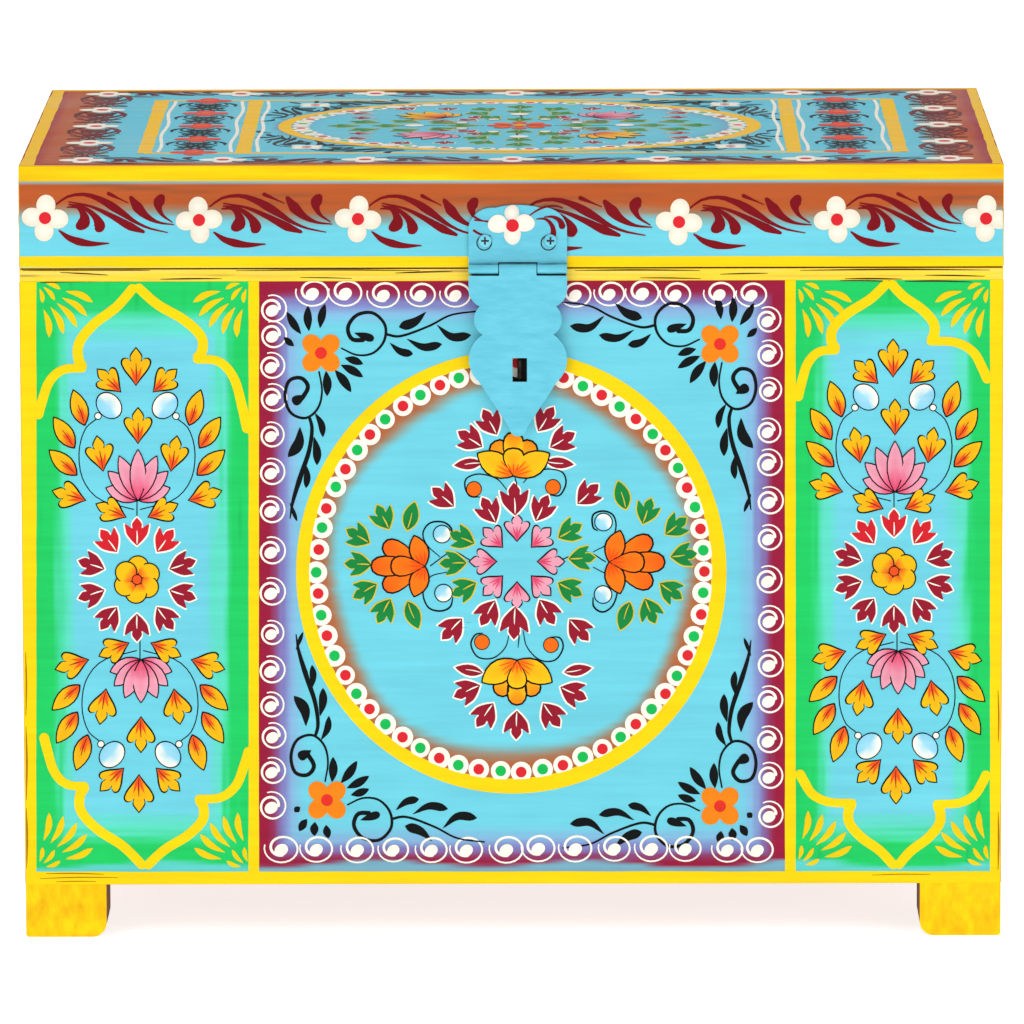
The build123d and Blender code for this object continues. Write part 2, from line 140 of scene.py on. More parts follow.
def to_linear(rgb):
    """sRGB to linear light: a short straight part near black, and a power of 2.4 above it."""
    rgb = np.asarray(rgb, float)
    return np.where(rgb <= 0.04045, rgb / 12.92, ((rgb + 0.055) / 1.055) ** 2.4)


def linear(code):
    """sRGB hex as a linear colour with alpha, for a shader socket."""
    return (*to_linear(hex_rgb(code)), 1.0)


def mix(a, b, t):
    """Colour a at t 0 and b at t 1. t may be an array."""
    t = np.asarray(t, float)[..., None]
    return a * (1 - t) + b * t


def smooth(low, high, x):
    """0 below low, 1 above high, and an S curve 3t^2 - 2t^3 between."""
    t = np.clip((x - low) / (high - low), 0, 1)
    return t * t * (3 - 2 * t)


SKY = hex_rgb("#6FD0E2")
TOP_BLUE = hex_rgb("#68CCE2")
YELLOW = hex_rgb("#FFD60A")
GOLD = hex_rgb("#FFC81C")
GREEN = hex_rgb("#1FCB62")
TEAL = hex_rgb("#5CDCC0")
MAROON = hex_rgb("#98193B")
PURPLE = hex_rgb("#7E78B8")
LAVENDER = hex_rgb("#86B4DC")
RUST = hex_rgb("#BA5A2B")
CREAM = hex_rgb("#FFF8EA")
RED = hex_rgb("#DE2630")
DOT_GREEN = hex_rgb("#15BC55")
ORANGE = hex_rgb("#FF8614")
BLACK = hex_rgb("#07090B")
WINE = hex_rgb("#7C0A16")
LEAF_WINE = hex_rgb("#98182E")
LEAF_RED = hex_rgb("#D4202C")
LEAF_GREEN = hex_rgb("#16873F")
LEAF_GOLD = hex_rgb("#F4BE10")
LEAF_FIRE = hex_rgb("#F4531C")
OUTLINE_GOLD = hex_rgb("#DCC438")
PINK = hex_rgb("#EDA2B6")
ROSE = hex_rgb("#E2466E")
LOTUS_ORANGE = hex_rgb("#FF7A12")
LOTUS_RED = hex_rgb("#F24A0C")
LOTUS_YELLOW = hex_rgb("#FFC414")
PEARL_BLUE = hex_rgb("#8CD4F0")
PETAL_CREAM = hex_rgb("#EDE3CE")
PETAL_EDGE = hex_rgb("#FBF5E6")
RUST_WORN = hex_rgb("#83503A")
RIM_WORN = hex_rgb("#D9A21C")
RIM_BARE = hex_rgb("#6A4A1E")
RIM_PALE = hex_rgb("#FBE07A")
RING_HAZE = hex_rgb("#8A7FA0")
SOIL = hex_rgb("#A8700F")
GRIME = hex_rgb("#33261E")
# near-black behind the hasp: dirt, and painted shade showing in the gaps between its knuckles
HASP_GRIME_AND_SHADE = hex_rgb("#2A211B")
# painted shade: the board seen through the strap's slot
SLOT_PAINTED_SHADE = hex_rgb("#1B1512")

# %% [markdown]
# ## Brush shapes
# A folk painter repeats a few shapes: a round dab, a leaf pressed out of a full brush, a petal, a comma.
# They could be drawn by hand as curves. A formula is shorter, and one number makes a leaf longer or its
# lobes sharper. Each shape is a numpy outline round its own middle, first axis forwards, second sideways.

# %% Outlines


def turned(local, centre, angle, size=1.0):
    """A local outline set down in picture points. Angle 0 is up and 90 is right, in degrees."""
    local = np.asarray(local, float) * size
    s, c = math.sin(math.radians(angle)), math.cos(math.radians(angle))
    x = centre[0] + local[:, 0] * s + local[:, 1] * c
    y = centre[1] - local[:, 0] * c + local[:, 1] * s
    return np.stack([x, y], 1)


def circle(radius, count=20, squash=1.0):
    """A circle, or an ellipse whose forward radius is radius times squash."""
    t = np.linspace(0, 2 * math.pi, count, endpoint=False)
    return np.stack([radius * squash * np.cos(t), radius * np.sin(t)], 1)


def almond(length, width, count=18, lean=0.0):
    """A leaf pointed at both ends. Its half width is w/2 * sin(t)^1.8, and lean moves the widest place."""
    t = np.linspace(0, math.pi, count // 2 + 1)
    along = -length / 2 * np.cos(t)
    wide = width / 2 * np.sin(t) ** 1.8 * (1 - lean * np.cos(t))
    half = np.stack([along, wide], 1)
    return np.concatenate([half, (half * [1, -1])[-2:0:-1]])


def drop(length, width, count=18):
    """A petal: a point behind and a round end in front. Half width is 0.62w * sin(t)^0.9 * sin(t/2)^1.3."""
    t = np.linspace(0, math.pi, count // 2 + 1)
    along = -length / 2 * np.cos(t)
    wide = width * 0.62 * np.sin(t) ** 0.9 * np.sin(t / 2) ** 1.3
    half = np.stack([along, wide], 1)
    return np.concatenate([half, (half * [1, -1])[-2:0:-1]])


ROUND_LOBES = ((-0.50, 0.0), (-0.30, 0.13), (-0.08, 0.30), (0.10, 0.385), (0.21, 0.33), (0.20, 0.21),
               (0.13, 0.125), (0.26, 0.155), (0.39, 0.085), (0.50, 0.0))
SHARP_LOBES = ((-0.50, 0.0), (-0.32, 0.19), (-0.10, 0.36), (0.10, 0.41), (0.27, 0.43), (0.18, 0.27),
               (0.12, 0.165), (0.27, 0.175), (0.40, 0.09), (0.50, 0.0))


def lobed_leaf(length, lobes=ROUND_LOBES, grow=0.0, wide=1.0):
    """A leaf of three lobes on a pointed base, from half an outline given in shares of its length.

    grow moves the outline straight out from the middle, for the rim painted round a leaf.
    """
    half = curve_through(lobes, 22)
    shape = np.concatenate([half, (half * [1, -1])[-2:0:-1]]) * [length, length * wide]
    return shape * (1 + grow / (np.linalg.norm(shape, axis=1)[:, None] + 1e-6))


def curve_through(points, count=24):
    """A smooth line through the points: cubic pieces whose slope at each point follows its two neighbours."""
    p = np.asarray(points, float)
    p = np.concatenate([[2 * p[0] - p[1]], p, [2 * p[-1] - p[-2]]])
    s = np.linspace(0, len(p) - 3 - 1e-9, count)
    i = s.astype(int)
    t = (s - i)[:, None]
    a, b, c, d = p[i], p[i + 1], p[i + 2], p[i + 3]
    return 0.5 * (2 * b + (c - a) * t + (2 * a - 5 * b + 4 * c - d) * t**2 + (3 * b - a - 3 * c + d) * t**3)


def taper(count, head, tail, peak=0.25):
    """Widths of a brush stroke: thin tail, widest at peak of its length, then a blunt or thin head."""
    t = np.linspace(0, 1, count)
    rise = np.sin(np.clip(t / peak, 0, 1) * math.pi / 2)
    fall = np.cos(np.clip((t - peak) / (1 - peak), 0, 1) * math.pi / 2) ** 0.8
    return tail + (head - tail) * rise * fall


# %% [markdown]
# ## A coat of paint
# Enamel dries to a skin with rounded edges, and a later stroke lies on the earlier one. Boolean cuts could
# join them, but they are slow and leave bad faces. So a coat gathers closed shapes of rising heights that
# sink a little into each other, and makes one mesh of all the shapes on a face.

# %% Coat


class Coat:
    """Painted shapes on one face. flatten turns shape points to millimetres right and up on the face."""

    def __init__(self, flatten, origin, right, up):
        self.flatten = flatten
        self.origin, self.right, self.up = (np.array(v, float) for v in (origin, right, up))
        self.out = np.cross(self.right, self.up)
        self.verts, self.tints, self.faces, self.count = [], [], [], 0

    def add(self, flat, height, tint, faces):
        """Adds points of the face at a height, with their colours, and faces that index them.

        Each shape sits a hair higher than the last, so no two tops lie in one plane.
        """
        hair = HAIR * (len(self.verts) % HAIR_STEPS)
        self.verts.append(np.column_stack([flat, np.broadcast_to(height, len(flat)) + hair]))
        self.tints.append(np.broadcast_to(tint, (len(flat), 3)))
        self.faces += [[i + self.count for i in face] for face in faces]
        self.count += len(flat)

    def blob(self, outline, tint, layer=1, middle=None, heart=None, rise=1.0):
        """A filled shape: a rim, a slightly crowned top and a flat underside.

        Triangles fan out from the heart, the point that sees the whole outline, in the colour named middle.
        """
        flat = self.flatten(outline)
        n = len(flat)
        heart = flat.mean(0) if heart is None else self.flatten(np.atleast_2d(heart))[0]
        tint = np.broadcast_to(tint, (n, 3))
        middle = tint.mean(0) if middle is None else middle
        base = SKIN + layer * LAYER
        shoulder, crown = base + SHOULDER * LAYER * rise, base + LAYER * rise
        flat = np.concatenate([flat, flat, heart[None]])
        height = np.concatenate([np.full(n, base - SINK), np.full(n, shoulder), [crown]])
        sides = [[i, (i + 1) % n, n + (i + 1) % n, n + i] for i in range(n)]
        tops = [[n + i, n + (i + 1) % n, 2 * n] for i in range(n)]
        self.add(flat, height, np.concatenate([tint, tint, [middle]]), sides + tops + [list(range(n))[::-1]])

    def stroke(self, line, width, tint, layer=1, closed=False, square=False):
        """A ribbon along a line: a flat top, two short slopes and a flat underside.

        An open ribbon ends in half circles: at a distance d from its end it is at most
        2 * sqrt(d * (w - d)) wide.
        """
        line = self.flatten(line)
        width = np.broadcast_to(np.asarray(width, float) * UNIT, len(line))
        if closed:
            run = np.roll(line, -1, 0) - np.roll(line, 1, 0)
        elif not square:
            along = np.concatenate([[0], np.cumsum(np.linalg.norm(np.diff(line, axis=0), axis=1))])
            caps = np.array([0.03, 0.12, 0.3, 0.5])
            places = np.concatenate([along, caps * width[0], along[-1] - caps * width[-1]])
            places = np.unique(places.clip(0, along[-1]))
            line = np.stack([np.interp(places, along, line[:, i]) for i in (0, 1)], 1)
            width = np.interp(places, along, width)
            far = np.minimum(places, along[-1] - places)
            far = np.minimum(np.maximum(far, 0.01 * width), width / 2)
            width = 2 * np.sqrt(far * (width - far))
        if not closed:
            run = np.gradient(line, axis=0)
        n = len(line)
        side = np.stack([-run[:, 1], run[:, 0]], 1) / (np.linalg.norm(run, axis=1)[:, None] + 1e-9)
        half = side * width[:, None] / 2
        base = SKIN + layer * LAYER
        rows = [line + half, line + half * FLAT_SHARE, line - half * FLAT_SHARE, line - half]
        flat = np.stack(rows, 1).reshape(-1, 2)
        height = np.tile([base - SINK, base + LAYER, base + LAYER, base - SINK], n)
        faces = []
        for i in range(n if closed else n - 1):
            a, b = 4 * i, 4 * ((i + 1) % n)
            faces += [[a + k, a + (k + 1) % 4, b + (k + 1) % 4, b + k] for k in range(4)]
        if not closed:
            faces += [[0, 1, 2, 3], [4 * n - 1, 4 * n - 2, 4 * n - 3, 4 * n - 4]]
        self.add(flat, height, np.tile(tint, (4 * n, 1)), faces)

    def skin(self, low, high, pitch, colour):
        """A ground coat between two corners in millimetres, whose colour(x, y) is a formula of the place."""
        nu, nv = (max(2, int(round((b - a) / pitch)) + 1) for a, b in zip(low, high))
        u, v = np.meshgrid(np.linspace(low[0], high[0], nu), np.linspace(low[1], high[1], nv))
        flat = np.stack([u.ravel(), v.ravel()], 1)
        k = np.arange(nu * nv).reshape(nv, nu)
        tops = np.stack([k[:-1, :-1], k[:-1, 1:], k[1:, 1:], k[1:, :-1]], -1).reshape(-1, 4).tolist()
        ring = np.concatenate([k[0, :-1], k[:-1, -1], k[-1, :0:-1], k[:0:-1, 0]])
        m, under = len(ring), nu * nv
        sides = [[int(ring[i]), under + i, under + (i + 1) % m, int(ring[(i + 1) % m])] for i in range(m)]
        tint = colour(flat[:, 0], flat[:, 1])
        self.add(
            np.concatenate([flat, flat[ring]]),
            np.concatenate([np.full(len(flat), SKIN), np.zeros(m)]),
            np.concatenate([tint, tint[ring]]),
            tops + sides + [list(range(under, under + m))[::-1]],
        )

    def build(self, name, body, slot, material, face=None):
        """Makes the mesh in metres, turns its faces outwards and lets it ride on a body.

        face is the low and high corner of the painted face: a stroke that would pass its edge stops there.
        """
        flat = np.concatenate(self.verts)
        if face is not None:
            flat[:, :2] = np.clip(flat[:, :2], *face)
        place = self.origin + flat[:, :1] * self.right + flat[:, 1:2] * self.up + flat[:, 2:] * self.out
        mesh = bpy.data.meshes.new(name)
        mesh.from_pydata((place / 1000).tolist(), [], self.faces)
        paint = mesh.attributes.new("paint", "FLOAT_COLOR", "POINT")
        tint = np.column_stack([to_linear(np.clip(np.concatenate(self.tints), 0, 1)), np.ones(self.count)])
        paint.data.foreach_set("color", tint.astype(np.float32).ravel())
        shell = bmesh.new()
        shell.from_mesh(mesh)
        bmesh.ops.recalc_face_normals(shell, faces=shell.faces)
        shell.to_mesh(mesh)
        shell.free()
        mesh.materials.append(material)
        piece = bpy.data.objects.new(name, mesh)
        bpy.context.scene.collection.objects.link(piece)
        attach(piece, body)
        print(name, "faces", len(self.faces))
        return piece


# %% [markdown]
# ## Materials
# The real finishes are oil enamel on soft wood, the same enamel on sheet steel, bare wood inside, and
# dull steel pins and nails. Painted image maps could give their wear. Noise on Object coordinates is used
# instead, because it needs no unwrapping and stays on the piece when the lid opens. One small function
# adds a node with its settings and links.

# %% Node helper


def node(tree, kind, settings=None, **links):
    """Adds a shader node. settings are its properties, links are values or output sockets for its inputs."""
    made = tree.nodes.new(kind)
    for key, value in (settings or {}).items():
        setattr(made, key, value)
    for key, value in links.items():
        numbered = key[0] == "i" and key[1:].isdigit()
        socket = made.inputs[int(key[1:]) if numbered else key.replace("_", " ")]
        if isinstance(value, bpy.types.NodeSocket):
            tree.links.new(value, socket)
        else:
            socket.default_value = value
    return made


def new_material(name):
    """A material with only its Principled BSDF and output, and the Object coordinates."""
    material = bpy.data.materials.new(name)
    material.use_nodes = True
    tree = material.node_tree
    shader = tree.nodes["Principled BSDF"]
    place = node(tree, "ShaderNodeTexCoord").outputs["Object"]
    return material, tree, shader, place


def noise(tree, place, scale, stretch=(1, 1, 1), detail=3.0, rough=0.5):
    """Noise whose cells are stretched: a smaller number along an axis makes longer marks there."""
    mapped = node(tree, "ShaderNodeMapping", Vector=place, Scale=stretch).outputs[0]
    made = node(tree, "ShaderNodeTexNoise", Vector=mapped, Scale=scale, Detail=detail, Roughness=rough)
    return made.outputs["Fac"]


def between(tree, value, low, high, to_low=0.0, to_high=1.0):
    """Maps a value from one range to another and stops at its ends."""
    return node(tree, "ShaderNodeMapRange", i0=value, i1=low, i2=high, i3=to_low, i4=to_high).outputs[0]


def blend_colour(tree, factor, a, b, mode="MIX"):
    """Mixes two colours by a factor."""
    made = tree.nodes.new("ShaderNodeMix")
    made.data_type, made.blend_type = "RGBA", mode
    for socket, value in zip((made.inputs[0], made.inputs[6], made.inputs[7]), (factor, a, b)):
        if isinstance(value, bpy.types.NodeSocket):
            tree.links.new(value, socket)
        else:
            socket.default_value = value
    return made.outputs[2]


def maths(tree, operation, a, b=0.0):
    """One Math node."""
    return node(tree, "ShaderNodeMath", {"operation": operation}, i0=a, i1=b).outputs[0]


# %% [markdown]
# ## Enamel
# Brushed enamel on this box is half gloss and a little uneven: the bristles leave furrows along the
# stroke, and small chips show the brown wood. The furrows are finer than a pixel, so they are drawn about
# 4 mm apart and many times longer than wide. Real enamel mirrors 4 per cent of the light. The box was
# photographed with the mirror image kept off it, so the specular level is low.

# %% Paint material
CHIP_BROWN = "#5B3420"
CHIP_LEVEL = 0.60        # the noise has to pass this for a chip, so there are few
SATIN = (0.36, 0.50)     # roughness of the smooth and of the rubbed patches


def enamel(name, stretch, gloss=0.09):
    """Hand-brushed oil enamel. Its colour is on the vertices, with streaks along the brush and worn specks.

    value = streaks (0.93 to 1.05) times patches (0.97 to 1.03), and both multiply the painted colour.
    """
    material, tree, shader, place = new_material(name)
    colour = node(tree, "ShaderNodeAttribute", {"attribute_name": "paint"}).outputs["Color"]
    streak = noise(tree, place, 260, stretch, 4.0, 0.6)    # 260 marks a metre: one in 3.8 mm
    patch = noise(tree, place, 28, (1, 1, 1), 3.0)         # patches the width of a hand's grip, 36 mm
    value = maths(tree, "MULTIPLY", between(tree, streak, 0.3, 0.7, 0.93, 1.05),
                  between(tree, patch, 0.3, 0.7, 0.97, 1.03))
    tone = node(tree, "ShaderNodeCombineColor", i0=value, i1=value, i2=value).outputs[0]
    colour = blend_colour(tree, 1.0, colour, tone, "MULTIPLY")
    grit = noise(tree, place, 420, stretch, 2.0)           # chips about 2.4 mm wide
    speck = maths(tree, "MULTIPLY", grit, between(tree, patch, 0.45, 0.75))
    colour = blend_colour(tree, between(tree, speck, CHIP_LEVEL, CHIP_LEVEL + 0.03, 0.0, 0.7), colour,
                          linear(CHIP_BROWN))
    tree.links.new(colour, shader.inputs["Base Color"])
    tree.links.new(between(tree, patch, 0.3, 0.7, *SATIN), shader.inputs["Roughness"])
    shader.inputs["Specular IOR Level"].default_value = gloss
    bump = node(tree, "ShaderNodeBump", Strength=0.25, Distance=0.0003, Height=streak)
    tree.links.new(bump.outputs[0], shader.inputs["Normal"])
    return material


# %% [markdown]
# ## Boards
# The boards are mango wood, or one like it: painted yellow outside, left bare and brown inside. Two
# materials and a split mesh would do it too. One material that asks how far out a face lies is simpler,
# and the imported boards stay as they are. The yellow is rubbed through at the arrises and near the floor.

# %% Board material
REACH = 0.0006           # metres within which a face counts as an outer one
ARRIS = 0.004            # metres from an arris in which paint rubs off
SPLASH = 0.006           # metres from the floor in which paint gets dirty
WEAR_SHARE = 0.14        # how much of its colour the paint loses in a worn patch


def painted_board(name, outer, stretch, worn=0.5, dirt=0.0, patches=22, soil="#6B4420"):
    """Yellow enamel on the outer faces of the box and bare brown wood on all the others.

    A face is outer where |x| or |y| reaches the side of the box, or z the top of the lid.
    Dirt shows where (nearness to an edge or the floor, + 0.8 * streak) * patch is more than worn.
    """
    material, tree, shader, place = new_material(name)
    axes = node(tree, "ShaderNodeSeparateXYZ", Vector=place).outputs
    wide, deep = (maths(tree, "ABSOLUTE", axes[i]) for i in (0, 1))
    off_side = maths(tree, "GREATER_THAN", wide, HALF_WIDTH / 1000 - REACH)
    off_face = maths(tree, "GREATER_THAN", deep, HALF_DEPTH / 1000 - REACH)
    off_top = maths(tree, "GREATER_THAN", axes[2], LID_TOP_Z / 1000 - REACH)
    outside = maths(tree, "MAXIMUM", maths(tree, "MAXIMUM", off_side, off_face), off_top)
    # Brush marks 4.5 mm apart are as fine as the picture can show.
    streak = noise(tree, place, 220, stretch, 4.0, 0.6)
    patch = noise(tree, place, patches, (1, 1, 1), 4.0)
    paint = blend_colour(tree, between(tree, streak, 0.35, 0.7), linear(outer), linear("#F0B406"))
    far_arris = maths(tree, "MAXIMUM",
                      maths(tree, "SUBTRACT", HALF_WIDTH / 1000, wide),
                      maths(tree, "SUBTRACT", HALF_DEPTH / 1000, deep))
    near_edge = between(tree, far_arris, 0.0, ARRIS, 1.0, 0.0)
    near_floor = between(tree, axes[2], 0.0, SPLASH, 1.0, 0.0)
    rub = maths(tree, "MAXIMUM", maths(tree, "MAXIMUM", near_edge, near_floor), dirt)
    rub = maths(tree, "ADD", rub, maths(tree, "MULTIPLY", streak, 0.8))
    rub = maths(tree, "MULTIPLY", rub, between(tree, patch, 0.42, 0.66))
    paint = blend_colour(tree, between(tree, rub, worn, worn + 0.35, 0.0, WEAR_SHARE), paint, linear(soil))
    grain = noise(tree, place, 90, tuple(0.12 if s < 1 else 1.0 for s in stretch), 6.0, 0.65)    # bands of 11 mm
    wood = blend_colour(tree, between(tree, grain, 0.3, 0.7), linear("#5A3420"), linear("#8C6040"))
    colour = blend_colour(tree, outside, wood, paint)
    tree.links.new(colour, shader.inputs["Base Color"])
    shader.inputs["Specular IOR Level"].default_value = 0.09
    tree.links.new(between(tree, outside, 0, 1, 0.8, 0.42), shader.inputs["Roughness"])
    height = blend_colour(tree, outside, grain, streak)
    bump = node(tree, "ShaderNodeBump", Strength=0.35, Distance=0.0004, Height=height)
    tree.links.new(bump.outputs[0], shader.inputs["Normal"])
    return material


# %% [markdown]
# ## Metal
# The hasp and hinges are cut from sheet steel about 1 mm thick and were brushed over with the sky-blue
# enamel, screws and all. Paint wears off a cut edge first, so the faces stay blue and the edges go dark.
# The pins and nails are plain steel, which is dull and spotted after years, not mirror bright. Their
# wear could be modelled as dents, but it is far below a millimetre, so noise and a faint bump do it.

# %% Metal materials


def painted_sheet(name, tint, metal="#3B3A38", recess=None):
    """Enamel over sheet metal. The faces keep the paint, the cut edges and rubbed patches show dark metal.

    recess is the depth, in metres along y, behind which a face of a screw's cross slot is painted near-black as
    painted shade.
    """
    material, tree, shader, place = new_material(name)
    normal = node(tree, "ShaderNodeTexCoord").outputs["Normal"]
    facing = maths(tree, "ABSOLUTE", node(tree, "ShaderNodeSeparateXYZ", Vector=normal).outputs[1])
    streak = noise(tree, place, 300, (0.3, 1, 1.2), 4.0, 0.6)    # brush marks 3.3 mm apart
    patch = noise(tree, place, 60, (1, 1, 1), 3.0)               # rubbed places of 17 mm
    paint = blend_colour(tree, between(tree, streak, 0.3, 0.7), linear(tint), linear("#55BCD4"))
    cut_edge = between(tree, facing, 0.25, 0.7, 1.0, 0.0)
    bare = maths(tree, "MULTIPLY", cut_edge, between(tree, streak, 0.38, 0.56, 0.35, 1.0))
    speck = between(tree, maths(tree, "MULTIPLY", streak, patch), 0.44, 0.47, 0.0, 0.4)
    colour = blend_colour(tree, maths(tree, "MAXIMUM", bare, speck), paint, linear(metal))
    # Painted shade: the faces deep in a screw's cross slot are coloured near-black.
    if recess is not None:
        depth = node(tree, "ShaderNodeSeparateXYZ", Vector=place).outputs[1]
        slot = maths(tree, "MULTIPLY", maths(tree, "GREATER_THAN", depth, recess),
                     maths(tree, "GREATER_THAN", facing, 0.9))
        colour = blend_colour(tree, slot, colour, linear("#0C0B0A"))
    tree.links.new(colour, shader.inputs["Base Color"])
    tree.links.new(maths(tree, "MULTIPLY", bare, 0.6), shader.inputs["Metallic"])
    tree.links.new(between(tree, patch, 0.3, 0.7, 0.34, 0.5), shader.inputs["Roughness"])
    bump = node(tree, "ShaderNodeBump", Strength=0.3, Distance=0.0003, Height=streak)
    tree.links.new(bump.outputs[0], shader.inputs["Normal"])
    return material


def plain_metal(name, dark, light, rough):
    """Dulled steel or iron, darker in patches, with fine scratches."""
    material, tree, shader, place = new_material(name)
    patch = noise(tree, place, 180, (1, 1, 1), 5.0, 0.65)        # spots of rust and polish, 5.5 mm
    tint = blend_colour(tree, between(tree, patch, 0.3, 0.7), linear(dark), linear(light))
    tree.links.new(tint, shader.inputs["Base Color"])
    shader.inputs["Metallic"].default_value = 0.9
    tree.links.new(between(tree, patch, 0.3, 0.7, rough, rough + 0.25), shader.inputs["Roughness"])
    bump = node(tree, "ShaderNodeBump", Strength=0.3, Distance=0.0002, Height=patch)
    tree.links.new(bump.outputs[0], shader.inputs["Normal"])
    return material


# %% [markdown]
# ## Which piece gets which finish
# Long boards are brushed along their length, so the furrows run along x on the front and y on the sides.
# Each node could get a material of its own, but the same tin of paint was used on them all.

# %% Finishes
ALONG_X = (0.06, 1, 1)
ALONG_Y = (1, 0.06, 1)
OUTSIDE_YELLOW = "#FFD60A"
paint_x = enamel("enamel_brushed_across", ALONG_X)
paint_top = enamel("enamel_rubbed_matt", ALONG_X, gloss=0.02)
board_x = painted_board("yellow_enamel_long_boards", OUTSIDE_YELLOW, ALONG_X)
board_y = painted_board("yellow_enamel_side_boards", OUTSIDE_YELLOW, ALONG_Y)
board_feet = painted_board("yellow_enamel_feet", OUTSIDE_YELLOW, (1, 1, 0.5), worn=0.36, dirt=0.36, patches=105,
                           soil="#9A5E10")
blue_sheet = painted_sheet("sky_blue_enamel_on_steel", "#66CCE2")
# The screws' cross slots get painted shade, near-black, in this material.
blue_screws = painted_sheet("sky_blue_enamel_on_screws_with_painted_slot_shade", "#7CD6EA", recess=(FRONT_Y - 1.9) / 1000)
steel = plain_metal("dull_steel", "#4C4A46", "#8C8A86", 0.35)
iron = plain_metal("dark_iron", "#15130F", "#3C3936", 0.45)

FINISH = {
    "front_board": board_x, "back_board": board_x, "left_board": board_y, "right_board": board_y,
    "bottom_board": board_x, "rim_front": board_x, "rim_back": board_x, "rim_left": board_y, "rim_right": board_y,
    "foot_front_left": board_feet, "foot_front_right": board_feet, "foot_back_left": board_feet,
    "foot_back_right": board_feet, "lid_top": board_x, "lid_front_rail": board_x, "lid_back_rail": board_x,
    "lid_left_rail": board_y, "lid_right_rail": board_y, "hasp_leaf": blue_sheet, "hasp_strap": blue_sheet,
    "hasp_screws": blue_screws, "staple": iron,
}
for name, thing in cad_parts.items():
    finish = FINISH.get(name, blue_sheet if "leaf" in name else steel)
    if "nails" in name:
        finish = board_x
    thing.data.materials.clear()
    thing.data.materials.append(finish)
print("finishes on", len(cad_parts), "nodes")

# %% [markdown]
# ## Motifs
# The painter builds each flower and leaf from two or three strokes of different colours, the outline last
# or first. One long list of strokes would do it, but small functions let the same leaf be set down a
# hundred times at another place, angle and colour. All places are in picture points.

# %% Motifs


def dot(coat, centre, radius, tint, layer=1):
    """A round dab."""
    coat.blob(turned(circle(radius), centre, 0), tint, layer)


def eye_dot(coat, centre, outer, inner, tint):
    """A cream disc with a coloured dot on it."""
    dot(coat, centre, outer, CREAM, 1)
    dot(coat, centre, inner, tint, 2)


def four_petals(coat, centre, size, petal, heart, angle=0.0, layer=1, edge=None):
    """Four round petals about a red heart. Every second petal stands a quarter of a layer higher."""
    for k in range(4):
        turn = angle + k * 90
        at = turned([[size * 0.31, 0]], centre, turn)[0]
        round_petal = turned(circle(size * 0.235, 18, 1.12), at, turn)
        coat.blob(round_petal, petal, layer, edge, rise=1.0 + 0.25 * (k % 2))
    dot(coat, centre, size * 0.15, heart, layer + 1.4)


def comma(coat, start, end, bend, width, tint, layer=1, peak=0.72, count=12):
    """A brush stroke from a thin tail to a round head, bowed sideways by bend of its length."""
    start, end = np.array(start, float), np.array(end, float)
    run = end - start
    mid = (start + end) / 2 + np.array([run[1], -run[0]]) * bend
    line = curve_through([start, mid, end], count)
    coat.stroke(line, taper(count, width, 0.5, peak), tint, layer)


def spray(coat, centre, angles, near, far, width, tint, layer=1):
    """Straight petal strokes standing round a flower."""
    for angle in angles:
        a = turned([[near, 0]], centre, angle)[0]
        b = turned([[far, 0]], centre, angle)[0]
        comma(coat, b, a, 0.04, width, tint, layer, peak=0.5)


def border_curl(coat, centre, radius, start, turn=1, stretch=1.0, tint=CREAM):
    """A cream curl of the border: a fine ring that winds in to a loaded dab.

    Its radius is r * (1 - 0.56 * t^1.7) while the brush turns through 480 degrees.
    """
    t = np.linspace(0, 1, 30)
    angle, r = np.radians(start + 480 * turn * t), radius * (1 - 0.56 * t ** 1.7)
    line = np.stack([centre[0] + r * np.sin(angle) * stretch, centre[1] - r * np.cos(angle)], 1)
    coat.stroke(line, 1.4 + 1.6 * t, tint, 1)
    dab = (centre[0] - radius * 0.05, centre[1] + radius * 0.12)
    coat.blob(turned(circle(radius * 0.4, 18, 1.2), dab, 60), tint, 1.6)


def fire_marks(coat, centre, angle, length, tint, layer, spread=0.15):
    """Fine strokes from the foot of a leaf: red first, then a hair of black in the middle."""
    for aim in (-spread, 0, spread):
        a, b = turned([[-0.44 * length, 0], [-0.02 * length, aim * length]], centre, angle)
        comma(coat, b, a, 0.03, 2.6, tint, layer, peak=0.6, count=6)
    a, b = turned([[-0.45 * length, 0], [0.08 * length, 0]], centre, angle)
    comma(coat, b, a, 0.03, 0.8, BLACK, layer + 0.7, peak=0.6, count=6)


def leaf(coat, centre, angle, length, edge_tint, base_tint, outline, vein=None, rim=1.7, layer=1,
         lobes=ROUND_LOBES):
    """A three-lobed leaf in two tones over its outline.

    It has a vein, or fire marks if the outline is black.
    """
    shape = lobed_leaf(length, lobes)
    coat.blob(turned(lobed_leaf(length, lobes, rim), centre, angle), outline, layer, heart=centre)
    tint = mix(base_tint, edge_tint, smooth(0.05, 0.36, shape[:, 0] / length + 0.5))
    coat.blob(turned(shape, centre, angle), tint, layer + 1, mix(base_tint, edge_tint, 0.85), heart=centre)
    if outline is BLACK:
        fire_marks(coat, centre, angle, length, base_tint, layer + 2)
    elif vein is not None:
        a, b = turned([[-0.44 * length, 0], [0.04 * length, 0]], centre, angle)
        comma(coat, b, a, 0.02, 1.5, vein, layer + 2, peak=0.6, count=6)


